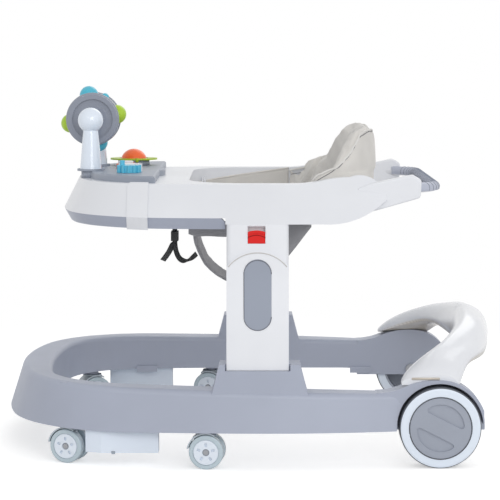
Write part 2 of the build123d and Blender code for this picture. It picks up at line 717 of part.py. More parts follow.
def rail_clips():
    """Snap clips hooked under the inner walls of the rail."""
    clips = []
    wall_skin = extrude(base_inner_plan(), BASE_LOFT_TOP) - extrude(base_inner_plan(CLIP_DEPTH), BASE_LOFT_TOP)
    for x, low in CLIPS:
        half = CLIP_LENGTH / 2
        window = box_between(x - half, x + half, -BASE_HALF_WIDTH, 0, low, low + CLIP_HEIGHT)
        plate = wall_skin & window
        clips += [plate, other_side(plate)]
    return Compound(children=clips)


# Columns

def leaning_plane():
    """Outer face of the left column: X along the walker, Y up the face, Z outwards."""
    return Plane(
        origin=(COLUMN_X, -COLUMN_LOW_OUTER, COLUMN_LOW_Z),
        x_dir=(1, 0, 0),
        z_dir=(0, -cos(LEAN), sin(LEAN)),
    )


def column_section(level, wall):
    share = (level - COLUMN_LOW_Z) / COLUMN_RISE
    outer = COLUMN_LOW_OUTER + (COLUMN_TOP_OUTER - COLUMN_LOW_OUTER) * share - wall
    inner = COLUMN_LOW_INNER + (COLUMN_TOP_INNER - COLUMN_LOW_INNER) * share + wall
    face = RectangleRounded(COLUMN_WIDTH - 2 * wall, outer - inner, COLUMN_ROUND - wall)
    return Pos(COLUMN_X, -(outer + inner) / 2, level) * face


def on_face(sketch, low, high):
    """Extrude a sketch on the leaning face between two depths, outwards positive."""
    return extrude(leaning_plane().offset(low) * sketch, high - low)


def pad_sketch():
    half = COLUMN_WIDTH / 2
    sides = Polyline((-half, PAD_SHOULDER), (-half, 0), (half, 0), (half, PAD_SHOULDER))
    top = ThreePointArc((half, PAD_SHOULDER), (0, PAD_TOP), (-half, PAD_SHOULDER))
    return make_face(Curve() + [sides, top])


def stadium(width, height):
    return Pos(0, INSET_CENTRE) * Rot(0, 0, 90) * SlotOverall(height, width)


def latch_window():
    x = LATCH_X - COLUMN_X
    height = LATCH_HEIGHT + LATCH_TRAVEL + FIT
    return Pos(x, LATCH_BOTTOM + height / 2 - FIT / 2) * Rectangle(LATCH_WIDTH + 2 * FIT, height + FIT)


def spring_seat_low():
    return LATCH_LEG_BOTTOM + LATCH_FOOT


def column_shell():
    shell = loft([column_section(COLUMN_LOW_Z, 0), column_section(COLUMN_TOP_Z, 0)], ruled=True)
    shell = shell + on_face(pad_sketch(), -1.0, PAD_DEPTH)
    foot = column_footprint(0, COLUMN_FOOT_Z, COLUMN_LOW_Z)
    shell = shell + foot
    inside = loft(
        [column_section(COLUMN_LOW_Z, THIN_WALL), column_section(COLUMN_TOP_Z - COLUMN_CAP, THIN_WALL)],
        ruled=True,
    )
    half = COLUMN_WIDTH / 2 - THIN_WALL
    foot_inside = box_between(
        COLUMN_X - half,
        COLUMN_X + half,
        -COLUMN_LOW_OUTER + THIN_WALL,
        -COLUMN_LOW_INNER - THIN_WALL,
        COLUMN_FOOT_Z + THIN_WALL,
        COLUMN_LOW_Z,
    )
    shell = shell - inside - foot_inside
    mast_half = MAST_WIDTH / 2 + FIT
    guide = box_between(
        COLUMN_X - mast_half,
        COLUMN_X + mast_half,
        -MAST_INNER_Y - MAST_DEPTH - FIT,
        -MAST_INNER_Y + FIT,
        COLUMN_TOP_Z - COLUMN_CAP - 1,
        COLUMN_TOP_Z + 1,
    )
    shell = shell - guide
    shell = shell - on_face(stadium(INSET_WIDTH + FIT, INSET_HEIGHT + FIT), PAD_DEPTH - INSET_DEPTH, PAD_DEPTH + 1)
    shell = shell - on_face(latch_window(), -THIN_WALL - 1, PAD_DEPTH)
    seat_low = spring_seat_low() + SPRING_LENGTH
    seat = Pos(LATCH_X - COLUMN_X + SPRING_OFFSET, seat_low + 1.5) * Rectangle(2 * SPRING_RADIUS + 2, 3)
    return shell + on_face(seat, -THIN_WALL - 2 * SPRING_RADIUS - 0.6, -THIN_WALL + 0.5)


def column_inset():
    return on_face(stadium(INSET_WIDTH, INSET_HEIGHT), PAD_DEPTH - INSET_DEPTH, PAD_DEPTH + 0.2)


# Latch sliders

def latch_slider():
    """Red slider: arched face in the window, tail plate behind the wall, leg down to the spring."""
    x = LATCH_X - COLUMN_X
    half = LATCH_WIDTH / 2
    crown = 2.0
    sides = Polyline(
        (x - half, LATCH_BOTTOM + LATCH_HEIGHT - crown),
        (x - half, LATCH_BOTTOM),
        (x + half, LATCH_BOTTOM),
        (x + half, LATCH_BOTTOM + LATCH_HEIGHT - crown),
    )
    top = LATCH_BOTTOM + LATCH_HEIGHT
    arch_top = ThreePointArc((x + half, top - crown), (x, top), (x - half, top - crown))
    face = make_face(Curve() + [sides, arch_top])
    behind = -THIN_WALL - FIT
    body = on_face(face, behind, LATCH_PROUD)
    below = ThreePointArc((x - half - 1, top - 6), (x, top - 4), (x + half + 1, top - 6))
    dish = Polyline(
        (x + half + 1, top - 6),
        (x + half + 1, LATCH_BOTTOM - 1),
        (x - half - 1, LATCH_BOTTOM - 1),
        (x - half - 1, top - 6),
    )
    body = body - on_face(make_face(Curve() + [below, dish]), LATCH_PROUD - 1.4, LATCH_PROUD + 1)
    tail_low = LATCH_BOTTOM - LATCH_TAIL_LAP
    tail_height = LATCH_HEIGHT
    tail = Pos(x, tail_low + tail_height / 2) * Rectangle(LATCH_WIDTH + 2 * LATCH_TAIL_LAP, tail_height)
    leg_height = tail_low - LATCH_LEG_BOTTOM + 1
    leg = Pos(x, LATCH_LEG_BOTTOM + leg_height / 2) * Rectangle(LATCH_LEG_WIDTH, leg_height)
    foot_right = SPRING_OFFSET + SPRING_RADIUS
    foot_left = -LATCH_LEG_WIDTH / 2
    foot = Pos(x + (foot_right + foot_left) / 2, LATCH_LEG_BOTTOM + LATCH_FOOT / 2)
    foot = foot * Rectangle(foot_right - foot_left, LATCH_FOOT)
    plate = on_face(tail + leg, behind - LATCH_TAIL, behind)
    shelf = on_face(foot, behind - 2 * SPRING_RADIUS, behind)
    return body + plate + shelf


def latch_spring():
    """Compression spring between the slider's foot and the seat in the shell."""
    x = LATCH_X - COLUMN_X + SPRING_OFFSET
    plane = leaning_plane()
    centre = plane.from_local_coords((x, spring_seat_low(), -THIN_WALL - FIT - SPRING_RADIUS))
    axis = Plane(origin=centre, x_dir=(1, 0, 0), z_dir=plane.y_dir)
    return extrude(axis * (Circle(SPRING_RADIUS) - Circle(SPRING_BORE)), SPRING_LENGTH)


# Masts

def mast():
    half = MAST_WIDTH / 2
    inner = MAST_INNER_Y
    outer = MAST_INNER_Y + MAST_DEPTH
    plate = box_between(COLUMN_X - half, COLUMN_X + half, -outer, -inner, MAST_BOTTOM_Z, TRAY_LOW_Z)
    notch_z = COLUMN_LOW_Z + (LATCH_BOTTOM + LATCH_HEIGHT / 2) * cos(LEAN)
    for index in range(TRAY_LEVELS):
        level = notch_z - index * TRAY_LEVEL_STEP
        plate = plate - box_between(
            LATCH_X - LATCH_WIDTH / 2,
            LATCH_X + LATCH_WIDTH / 2,
            -outer - 1,
            -outer + MAST_NOTCH,
            level - 4,
            level + 4,
        )
    flange = box_between(
        COLUMN_X - half,
        COLUMN_X + half,
        -outer,
        -outer + MAST_FLANGE_DEPTH,
        TRAY_LOW_Z,
        TRAY_LOW_Z + MAST_FLANGE,
    )
    return plate + flange


# Tray

def tray_plan(level, inset=0.0):
    drop = level - TRAY_LOW_Z
    face = horseshoe(
        TRAY_FRONT - TRAY_FRONT_SLOPE * drop,
        TRAY_HALF_WIDTH - TRAY_SIDE_SLOPE * drop,
        TRAY_FRONT_RADIUS - TRAY_FRONT_SLOPE * drop,
        TRAY_FRONT_SWEEP,
        TRAY_SIDE_RADIUS,
        TRAY_REAR + 5,
        inset,
    )
    return Pos(0, 0, level) * face


def tray_body(low, high, inset=0.0):
    return loft([tray_plan(low, inset), tray_plan(high, inset)], ruled=True)


def tray_side_face(inset):
    """Side view of the tray: level rim, wings that rise and round off at the rear."""
    top = TRAY_RIM_Z - inset
    wing_top = TRAY_WING_TOP - inset
    rear = TRAY_REAR - inset
    low = TRAY_LOW_Z
    front = -TRAY_FRONT - 20
    run = TRAY_WING_X - TRAY_WING_RISE_X
    rise = wing_top - top
    radius = (run ** 2 + rise ** 2) / (4 * rise)
    turn = degrees(2 * atan2(rise, run))
    rim = Line((front, top), (TRAY_WING_RISE_X, top))
    up = JernArc(rim @ 1, (1, 0), radius, turn)
    level = JernArc(up @ 1, up % 1, radius, -turn)
    nose = ThreePointArc(level @ 1, (rear - 9, wing_top - 10), (rear, wing_top - 30))
    under = ThreePointArc((rear, wing_top - 30), (TRAY_WING_X + 20 - inset, low + 11), (TRAY_WING_X - 40, low))
    floor = Polyline(
        (TRAY_WING_X - 40, low),
        (BAND_REAR_X, low),
        (BAND_REAR_X, TRAY_FRONT_LOW),
        (front, TRAY_FRONT_LOW),
        (front, top),
    )
    return make_face(Curve() + [rim, up, level, nose, under, floor])


def opening_face(grow=0.0):
    """Plan of the seat opening, open to the rear."""
    length = OPENING_FRONT + TRAY_REAR + 60
    face = Rectangle(length, 2 * OPENING_HALF_WIDTH)
    face = fillet(face.vertices().sort_by(Axis.X)[:2], OPENING_CORNER)
    face = Pos(length / 2 - OPENING_FRONT, 0) * face
    return offset(face, grow) if grow else face


def opening(grow, low, high):
    return extrude(Pos(0, 0, low) * opening_face(grow), high - low)


def tray():
    solid = tray_body(TRAY_LOW_Z - 2, TRAY_HIGH_Z) & across(tray_side_face(0.0), TRAY_HALF_WIDTH + 10)
    solid = solid - opening(0.0, TRAY_LOW_Z - 10, TRAY_HIGH_Z + 10)
    hollow = tray_body(TRAY_LOW_Z - 2, TRAY_HIGH_Z, THIN_WALL) & across(tray_side_face(THIN_WALL), TRAY_HALF_WIDTH)
    hollow = hollow - opening(THIN_WALL, TRAY_LOW_Z - 10, TRAY_HIGH_Z + 10)
    floor_half = COLUMN_WIDTH / 2 + 8
    keep = box_between(
        COLUMN_X - floor_half,
        COLUMN_X + floor_half,
        -TRAY_HALF_WIDTH - 5,
        TRAY_HALF_WIDTH + 5,
        TRAY_LOW_Z + MAST_FLANGE,
        TRAY_LOW_Z + MAST_FLANGE + THIN_WALL,
    )
    solid = solid - (hollow - keep)
    pocket = mast_flange_pocket()
    ball = ball_hole()
    return solid - pocket - other_side(pocket) - ball


def mast_flange_pocket():
    half = MAST_WIDTH / 2 + FIT
    outer = MAST_INNER_Y + MAST_DEPTH + FIT
    return box_between(
        COLUMN_X - half,
        COLUMN_X + half,
        -outer,
        -outer + MAST_FLANGE_DEPTH + 2 * FIT,
        TRAY_LOW_Z - 1,
        TRAY_LOW_Z + MAST_FLANGE,
    )


def band_body(inset, bottom):
    """Filled under-band from its upper edge down to a level, drawn in towards the bottom."""
    undercut = BAND_UNDERCUT * (TRAY_FRONT_LOW - bottom) / (TRAY_FRONT_LOW - BAND_BOTTOM)
    low = Pos(0, 0, bottom) * tray_plan_flat(TRAY_FRONT_LOW, inset + undercut)
    high = Pos(0, 0, TRAY_FRONT_LOW) * tray_plan_flat(TRAY_FRONT_LOW, inset)
    return loft([low, high], ruled=True)


def under_band():
    inner = extrude(Pos(0, 0, BAND_BOTTOM - 1) * tray_plan_flat(TRAY_FRONT_LOW, BAND_DEPTH), 30)
    band = band_body(0.0, BAND_BOTTOM) - inner
    corner = 10.0
    side = make_face(Curve() + [
        Polyline(
            (BAND_REAR_X - corner, TRAY_FRONT_LOW),
            (-TRAY_FRONT - 20, TRAY_FRONT_LOW),
            (-TRAY_FRONT - 20, BAND_BOTTOM),
            (BAND_REAR_X - FIT, BAND_BOTTOM),
            (BAND_REAR_X - FIT, TRAY_FRONT_LOW - corner),
        ),
        ThreePointArc(
            (BAND_REAR_X - FIT, TRAY_FRONT_LOW - corner),
            (BAND_REAR_X - 0.29 * corner, TRAY_FRONT_LOW - 0.29 * corner),
            (BAND_REAR_X - corner, TRAY_FRONT_LOW),
        ),
    ])
    return band & across(side, TRAY_HALF_WIDTH + 10)


def tray_plan_flat(level, inset):
    return Pos(0, 0, -level) * tray_plan(level, inset)


def joint_strap():
    """White strap over the joint of the tray's front, round the left wall and over its rim."""
    high = TRAY_RIM_Z + STRAP_THICKNESS
    skin = -STRAP_THICKNESS - FIT
    wall = tray_body(TRAY_FRONT_LOW, high, skin) - tray_body(TRAY_FRONT_LOW, TRAY_RIM_Z, -FIT)
    lower = band_body(skin, STRAP_BOTTOM) - band_body(-FIT, STRAP_BOTTOM)
    half = STRAP_WIDTH / 2
    reach = TRAY_HALF_WIDTH - TRAY_SIDE_SLOPE * (TRAY_RIM_Z - TRAY_LOW_Z) - STRAP_LAP
    window = box_between(STRAP_X - half, STRAP_X + half, -TRAY_HALF_WIDTH - 30, -reach, STRAP_BOTTOM, high)
    return (wall + lower) & window


# Push handle

def handle_path():
    """Loop of the handle from one arm to the other."""
    cross = HANDLE_REAR - GRIP_THICKNESS - BAR_THICKNESS / 2
    bend = cross - HANDLE_CORNER
    side = HANDLE_HALF_WIDTH - ARM_THICKNESS / 2
    first = Line((BAR_START, -side, HANDLE_Z), (bend, -side, HANDLE_Z))
    corner = ThreePointArc(
        (bend, -side, HANDLE_Z),
        (bend + HANDLE_CORNER * sin(pi / 4), -side + HANDLE_CORNER * (1 - cos(pi / 4)), HANDLE_Z),
        (cross, -side + HANDLE_CORNER, HANDLE_Z),
    )
    half = Line((cross, -side + HANDLE_CORNER, HANDLE_Z), (cross, 0, HANDLE_Z))
    left = Curve() + [first, corner, half]
    return Wire(left.edges() + mirror(left, about=Plane.XZ).edges())


def handle_bar(grow):
    side = HANDLE_HALF_WIDTH - ARM_THICKNESS / 2
    section = Plane(origin=(BAR_START, -side, HANDLE_Z), x_dir=(0, 1, 0), z_dir=(1, 0, 0))
    face = section * Ellipse(BAR_THICKNESS / 2 + grow, BAR_HEIGHT / 2 + grow)
    return sweep(face, path=handle_path())


def arm_plate(gap):
    face = make_face(Polyline(*ARM_PROFILE, close=True))
    face = fillet(face.vertices().sort_by(Axis.X)[-3:], ARM_ROUND)
    return side_plate(face, HANDLE_HALF_WIDTH - ARM_THICKNESS - gap, HANDLE_HALF_WIDTH + gap)


def push_handle():
    """Two flat arms that rise from the tray's wings, and the loop between them."""
    arm = arm_plate(0.0)
    arm = fillet(arm.faces().filter_by(Axis.Y).edges(), ARM_EDGE)
    return handle_bar(0.0) + arm + other_side(arm) - handle_tray_space()


def handle_tray_space():
    """What the tray's wings leave for the handle's arms."""
    solid = tray_body(TRAY_LOW_Z - 2, TRAY_HIGH_Z) & across(tray_side_face(0.0), TRAY_HALF_WIDTH + 10)
    return solid - opening(0.0, TRAY_LOW_Z - 10, TRAY_HIGH_Z + 10)


def handle_grip():
    """Cover over the top, front and rear of the loop, between the arms."""
    sleeve = handle_bar(GRIP_THICKNESS) - handle_bar(FIT / 2)
    rear = box_between(GRIP_START, REACH, -REACH, REACH, GRIP_BOTTOM, REACH)
    arm = arm_plate(FIT)
    return (sleeve & rear) - arm - other_side(arm)


# Toy panel and toys

def toy_panel():
    top = tray_plan_flat(TRAY_RIM_Z, PANEL_MARGIN)
    clip = Pos(PANEL_REAR - REACH / 2, 0) * Rectangle(REACH, REACH)
    bulge = Pos(PANEL_BULGE_X, 0) * Circle(PANEL_BULGE_RADIUS)
    outline = (top & clip) + (top & bulge)
    panel = extrude(Pos(0, 0, TRAY_RIM_Z) * outline, PANEL_TOP - TRAY_RIM_Z)
    panel = fillet(panel.faces().sort_by(Axis.Z)[-1].edges(), PANEL_ROUND)
    inside = offset(outline, -THIN_WALL)
    panel = panel - extrude(Pos(0, 0, TRAY_RIM_Z) * inside, PANEL_TOP - THIN_WALL - TRAY_RIM_Z)
    for side in (-1, 1):
        boss = Pos(SPINNER_X, side * POST_Y, PANEL_TOP + POST_BOSS / 2)
        panel = panel + boss * Cylinder(POST_BASE_RADIUS + 4, POST_BOSS)
    for x, y in (gear_centre(0), gear_centre(1)):
        pin = Cylinder(GEAR_PIN_RADIUS, GEAR_HEIGHT - 2)
        panel = panel + Pos(x, y, PANEL_TOP + GEAR_HEIGHT / 2 - 1) * pin
    for side in (-1, 1):
        block_y = BALL_Y + side * (BALL_RADIUS + BALL_GAP + BALL_PIN_LENGTH / 2)
        height = leaf_level() - PANEL_TOP
        block = Pos(BALL_X, block_y, PANEL_TOP + height / 2) * Box(10, BALL_PIN_LENGTH, height)
        panel = panel + block
    pins = Pos(BALL_X, BALL_Y, BALL_Z) * Rot(90, 0, 0)
    pins = pins * Cylinder(BALL_PIN_RADIUS + PIN_FIT, 2 * (BALL_RADIUS + BALL_GAP + BALL_PIN_LENGTH) + 1)
    return panel - ball_hole() - pins


def ball_hole():
    return Pos(BALL_X, BALL_Y, TRAY_RIM_Z) * Cylinder(BALL_RADIUS + BALL_GAP, 60)


def leaf_level():
    return BALL_Z + BALL_PIN_RADIUS + 2.0


def gear_centre(index):
    """The peg gear is the first, the idler lies beside it, further from the left edge."""
    return GEAR_X, GEAR_Y + index * GEAR_CENTRE_DISTANCE


def spinner_post():
    base = PANEL_TOP + POST_BOSS
    shoulder = SPINNER_Z - 15
    outline = make_face(Polyline(
        (0, base),
        (POST_BASE_RADIUS, base),
        (POST_NECK_RADIUS, shoulder),
        (0, shoulder + 5),
        close=True,
    ))
    stem = revolve(Plane.XZ * outline, axis=Axis.Z)
    head = Pos(0, 0, SPINNER_Z) * Sphere(POST_HEAD_RADIUS)
    bore = Pos(0, POST_HEAD_RADIUS / 2, SPINNER_Z) * Rot(90, 0, 0)
    bore = bore * Cylinder(SPINNER_AXLE_RADIUS + PIN_FIT, POST_HEAD_RADIUS + 8)
    return Pos(SPINNER_X, -POST_Y, 0) * (stem + head - bore)


def spinner_disc():
    """Dished disc on the left of the roller."""
    half = DISC_THICKNESS / 2
    disc = Cylinder(DISC_RADIUS, DISC_THICKNESS)
    disc = fillet(disc.edges().filter_by(GeomType.CIRCLE), DISC_ROUND)
    boss = Cylinder(SPINNER_AXLE_RADIUS + 4, 2 * DISC_DISH)
    dish = Pos(0, 0, half) * (Cylinder(DISC_DISH_RADIUS, 2 * DISC_DISH) - boss)
    disc = disc - dish - Cylinder(SPINNER_AXLE_RADIUS + PIN_FIT, 40)
    return Pos(SPINNER_X, -DISC_Y - half, SPINNER_Z) * Rot(90, 0, 0) * disc


def spinner_axle():
    """Axle with the core drum that carries the knobs."""
    reach = POST_Y - 6
    axle = Cylinder(SPINNER_AXLE_RADIUS, 2 * reach) + Cylinder(SPINNER_CORE_RADIUS, 2 * DISC_Y)
    axle = Pos(SPINNER_X, 0, SPINNER_Z) * Rot(90, 0, 0) * axle
    for angles in KNOB_ANGLES.values():
        for angle in angles:
            axle = axle - knob(angle, 0.1)
    return axle - bead(0.1)


def knob(angle, grow=0.0):
    x = SPINNER_X + KNOB_ORBIT * cos(radians(angle))
    z = SPINNER_Z + KNOB_ORBIT * sin(radians(angle))
    return Pos(x, 0, z) * Sphere(KNOB_RADIUS + grow)


def bead(grow=0.0):
    orbit = DISC_RADIUS - 3.0
    x = SPINNER_X + orbit * cos(radians(BEAD_ANGLE))
    z = SPINNER_Z + orbit * sin(radians(BEAD_ANGLE))
    stalk = Pos(SPINNER_X, 0, SPINNER_Z) * Rot(0, 90 - BEAD_ANGLE, 0)
    length = orbit - SPINNER_CORE_RADIUS + 3
    stalk = stalk * Pos(0, 0, orbit - length / 2) * Cylinder(2.5 + grow, length)
    return Pos(x, 0, z) * Sphere(BEAD_RADIUS + grow) + stalk


def knobs(colour):
    solids = [knob(angle) for angle in KNOB_ANGLES[colour]]
    if colour == "blue":
        solids.append(bead())
    return Compound(children=solids)


def gear(phase):
    body = Circle(GEAR_BODY_RADIUS)
    for index in range(GEAR_TEETH):
        angle = 360 * index / GEAR_TEETH + phase
        body = body + Rot(0, 0, angle) * Pos(GEAR_TOOTH_ORBIT, 0) * Circle(GEAR_TOOTH_RADIUS)
        neck = Pos((GEAR_BODY_RADIUS + GEAR_TOOTH_ORBIT) / 2 - 1, 0)
        body = body + Rot(0, 0, angle) * neck * Rectangle(GEAR_TOOTH_ORBIT - GEAR_BODY_RADIUS + 2, 3.2)
    gear_solid = extrude(body, GEAR_HEIGHT - FIT)
    top = GEAR_HEIGHT - 2
    bore = Pos(0, 0, top / 2) * Cylinder(GEAR_PIN_RADIUS + PIN_FIT, top)
    return gear_solid - bore


def peg_gear():
    peg = Pos(-PEG_ORBIT, -4, GEAR_HEIGHT - FIT + PEG_HEIGHT / 2) * Cylinder(PEG_RADIUS, PEG_HEIGHT)
    x, y = gear_centre(0)
    return Pos(x, y, PANEL_TOP + FIT) * (gear(0.0) + peg)


def idler_gear():
    x, y = gear_centre(1)
    return Pos(x, y, PANEL_TOP + FIT) * gear(180.0 / GEAR_TEETH)


def squeaker_cup():
    ring = Cylinder(SQUEAKER_RADIUS, SQUEAKER_CUP) - Cylinder(SQUEAKER_CAP + FIT, SQUEAKER_CUP + 1)
    return Pos(SQUEAKER_X, SQUEAKER_Y, PANEL_TOP + SQUEAKER_CUP / 2) * ring


def squeaker_cap():
    low = PANEL_TOP + SQUEAKER_TRAVEL + FIT
    high = PANEL_TOP + SQUEAKER_CUP + SQUEAKER_TRAVEL + 1.5
    cap = Cylinder(SQUEAKER_CAP, high - low)
    cap = fillet(cap.edges().filter_by(GeomType.CIRCLE).sort_by(Axis.Z)[-1], 1.5)
    return Pos(SQUEAKER_X, SQUEAKER_Y, (low + high) / 2) * cap


def leaf_plate():
    outline = Ellipse(LEAF_LENGTH / 2, LEAF_WIDTH / 2) - Circle(BALL_RADIUS + BALL_GAP)
    return Pos(BALL_X, BALL_Y, leaf_level()) * extrude(outline, LEAF_THICKNESS)


def roller_ball():
    pins = Rot(90, 0, 0) * Cylinder(BALL_PIN_RADIUS, 2 * (BALL_RADIUS + BALL_GAP + BALL_PIN_LENGTH))
    return Pos(BALL_X, BALL_Y, BALL_Z) * (Sphere(BALL_RADIUS) + pins)


# Rear bow

def rear_bow():
    """Bow lofted from arch to arch, cut where it lands on them."""
    left = [(depth - BOW_END, points) for depth, *points in BOW_SLICES]
    right = [(-y, points) for y, points in left[-2::-1]]
    sections = []
    for y, points in left + right:
        outline = Curve() + [Spline(*points), Line(points[-1], points[0])]
        sections.append(Plane.XZ.offset(-y) * make_face(outline))
    bow = loft(sections)
    landing = side_plate(arch_face(90.0, BASE_BOTTOM), ARCH_INNER_Y, ARCH_INNER_Y + 2 * ARCH_WIDTH)
    return bow - landing - other_side(landing)


# Seat

def seat_section(station):
    """Upright section of the padding: level hem, rounded top edge, inner face that leans back."""
    (x, y), (out_x, out_y), padding, growth, top = station
    plane = Plane(origin=(x, y, 0), x_dir=(out_x, out_y, 0), z_dir=(out_y, -out_x, 0))
    shoulder = top - SEAT_SHOULDER * padding
    middle = (SEAT_BOTTOM_Z + top) / 2
    hem = Line((SEAT_HEM - padding - growth, SEAT_BOTTOM_Z), (-SEAT_HEM, SEAT_BOTTOM_Z))
    outer = ThreePointArc(hem @ 1, (0, middle), (-SEAT_HEM, shoulder))
    crown = ThreePointArc(outer @ 1, (-padding / 2, top), (SEAT_HEM - padding, shoulder))
    inner = ThreePointArc(crown @ 1, (-padding - growth / 2, middle), hem @ 0)
    return plane * make_face(Curve() + [hem, outer, crown, inner])


def seat_back():
    """Upright padded back with wings, wrapped round the rear of the opening."""
    stations = []
    for angle, *padding in SEAT_CORNER_STATIONS:
        out = (sin(radians(angle)), -cos(radians(angle)))
        x = SEAT_REAR_X - SEAT_CORNER + SEAT_CORNER * out[0]
        y = -SEAT_HALF_WIDTH + SEAT_CORNER + SEAT_CORNER * out[1]
        stations.append(((x, y), out, *padding))
    stations += [((SEAT_REAR_X, y), (1, 0), *padding) for y, *padding in SEAT_REAR_STATIONS]
    for (x, y), (out_x, out_y), *padding in stations[-2::-1]:
        stations.append(((x, -y), (out_x, -out_y), *padding))
    return loft([seat_section(station) for station in stations])


def seat_liner():
    """Fabric skirt that lines the front and sides of the opening, lower at the front."""
    ring = opening_face(-FIT) - opening_face(-FIT - LINER_THICKNESS)
    skirt = extrude(Pos(0, 0, LINER_BOTTOM) * ring, TRAY_RIM_Z - LINER_BOTTOM)
    end = SEAT_FRONT_X - FIT
    side = make_face(Polyline(
        (-OPENING_FRONT, LINER_BOTTOM),
        (end, LINER_BOTTOM),
        (end, TRAY_RIM_Z),
        (-OPENING_FRONT, LINER_FRONT_TOP),
        close=True,
    ))
    return skirt & across(side, REACH)


def sling_line():
    """Side view of the sling's lower face: down from the front, round the crotch, up to the rear."""
    front = Line((SLING_FRONT_X, SLING_FRONT_TOP), (SLING_FRONT_X + 1, SLING_BEND_Z))
    down = ThreePointArc(front @ 1, SLING_FRONT_BELLY, (SLING_LOW_X, SLING_LOW_Z))
    up = ThreePointArc(down @ 1, SLING_REAR_BELLY, (SLING_RISE_X, SLING_REAR_Z))
    return [front, down, up, Line(up @ 1, (SLING_REAR_X, SLING_REAR_Z))]


def band_outline(edges, thickness):
    """Closed outline of a band of some thickness on the left of a line of edges."""
    count = 9
    lower = [edges[0] @ 0]
    for edge in edges:
        lower += [edge @ (step / count) for step in range(1, count + 1)]
    upper = []
    for index, point in enumerate(lower):
        before = lower[max(index - 1, 0)]
        after = lower[min(index + 1, len(lower) - 1)]
        run = after - before
        size = hypot(run.X, run.Y)
        upper.append((point.X - run.Y / size * thickness, point.Y + run.X / size * thickness))
    points = [(point.X, point.Y) for point in lower] + upper[::-1]
    return Polyline(*points, close=True)


def band_solid(edges, thickness, width):
    return across(make_face(band_outline(edges, thickness)), width / 2)


def seat_sling():
    """Hanging sling, narrow at the crotch so that both sides leave a leg hole."""
    front = SLING_FRONT_WIDTH / 2
    crotch = SLING_CROTCH_WIDTH / 2
    rear = SLING_REAR_WIDTH / 2
    left = [
        (SLING_FRONT_X - 10, -front),
        (SLING_LOW_X - 20, -crotch),
        (SLING_LOW_X + 20, -crotch),
        (SLING_LOW_X + 60, -rear),
        (SLING_REAR_X + 10, -rear),
    ]
    right = [(x, -y) for x, y in reversed(left)]
    plan = make_face(Polyline(*left, *right, close=True))
    sheet = band_solid(sling_line(), SLING_THICKNESS, SLING_REAR_WIDTH)
    return sheet & extrude(Pos(0, 0, SLING_LOW_Z - 20) * plan, 200)


def crotch_strap():
    """Webbing from under the tray's table to the sling, with a free tail below the buckle."""
    drop = Line((WEBBING_HANG_X, TRAY_RIM_Z - THIN_WALL - FIT), (WEBBING_HANG_X, BUCKLE_Z - 20))
    loop = ThreePointArc(drop @ 1, WEBBING_LOOP, WEBBING_END)
    tail = Line((WEBBING_HANG_X + WEBBING / 2, BUCKLE_Z - BUCKLE_HEIGHT / 2 - BUCKLE_GAP), WEBBING_TAIL)
    strap = band_solid([drop, loop], WEBBING, WEBBING_WIDTH) + band_solid([tail], WEBBING, WEBBING_WIDTH)
    cut = SLING_REAR_WIDTH
    return strap - band_solid(sling_line(), SLING_THICKNESS, cut) - band_solid(sling_line(), -FIT, cut)


def strap_buckle():
    strap_x = WEBBING_HANG_X + WEBBING / 2
    half = BUCKLE_DEPTH / 2
    side = WEBBING_WIDTH / 2 + BUCKLE_SIDE
    low = BUCKLE_Z - BUCKLE_HEIGHT / 2
    block = box_between(strap_x - half, strap_x + half, -side, side, low, low + BUCKLE_HEIGHT)
    gap = WEBBING / 2 + BUCKLE_GAP
    width = WEBBING_WIDTH / 2 + BUCKLE_GAP
    slot = box_between(strap_x - gap, strap_x + gap, -width, width, low - 1, low + BUCKLE_HEIGHT + 1)
    return block - slot


def main():
    os.makedirs("parts", exist_ok=True)
    save("base_ring", base_ring())
    save_pair("rear_tyre", tyre())
    save_pair("rear_hub", hub())
    save_pair("rear_axle", rear_axle())
    for name in CASTERS:
        place = caster_place(name)
        save(f"{name}_hood", place * caster_hood())
        save(f"{name}_wheels", place * caster_wheels())
        save(f"{name}_axle", place * caster_axle())
    save_pair("brake_box", brake_box())
    save_pair("brake_strip", brake_strip())
    save("rail_clips", rail_clips())
    save("rear_bow", rear_bow())
    save_pair("column_shell", column_shell())
    save_pair("column_inset", column_inset())
    save_pair("latch_slider", latch_slider())
    save_pair("latch_spring", latch_spring())
    save_pair("mast", mast())
    save("tray", tray())
    save("under_band", under_band())
    save_pair("joint_strap", joint_strap())
    save("push_handle", push_handle())
    save("handle_grip", handle_grip())
    save("toy_panel", toy_panel())
    save_pair("spinner_post", spinner_post())
    save("spinner_axle", spinner_axle())
    save_pair("spinner_disc", spinner_disc())
    save("spinner_knobs_blue", knobs("blue"))
    save("spinner_knobs_green", knobs("green"))
    save("peg_gear", peg_gear())
    save("idler_gear", idler_gear())
    save("squeaker_cup", squeaker_cup())
    save("squeaker_cap", squeaker_cap())
    save("leaf_plate", leaf_plate())
    save("roller_ball", roller_ball())
    save("seat_back", seat_back())
    save("seat_liner", seat_liner())
    save("seat_sling", seat_sling())
    save("crotch_strap", crotch_strap())
    save("strap_buckle", strap_buckle())


main()
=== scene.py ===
import json
import math
import bmesh
import bpy
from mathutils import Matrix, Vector
from mathutils.bvhtree import BVHTree


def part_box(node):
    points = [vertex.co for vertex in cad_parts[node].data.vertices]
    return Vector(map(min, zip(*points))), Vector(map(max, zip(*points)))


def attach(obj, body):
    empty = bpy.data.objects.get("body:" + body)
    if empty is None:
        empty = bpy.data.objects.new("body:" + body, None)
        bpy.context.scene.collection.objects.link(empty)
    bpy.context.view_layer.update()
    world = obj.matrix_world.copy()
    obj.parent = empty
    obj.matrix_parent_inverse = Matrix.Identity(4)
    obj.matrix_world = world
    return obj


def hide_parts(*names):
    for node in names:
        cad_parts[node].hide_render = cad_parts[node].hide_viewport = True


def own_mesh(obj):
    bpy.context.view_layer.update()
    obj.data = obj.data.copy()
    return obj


# Baby walker, dressed round its solids. Metres, front towards -X, child's left towards -Y.

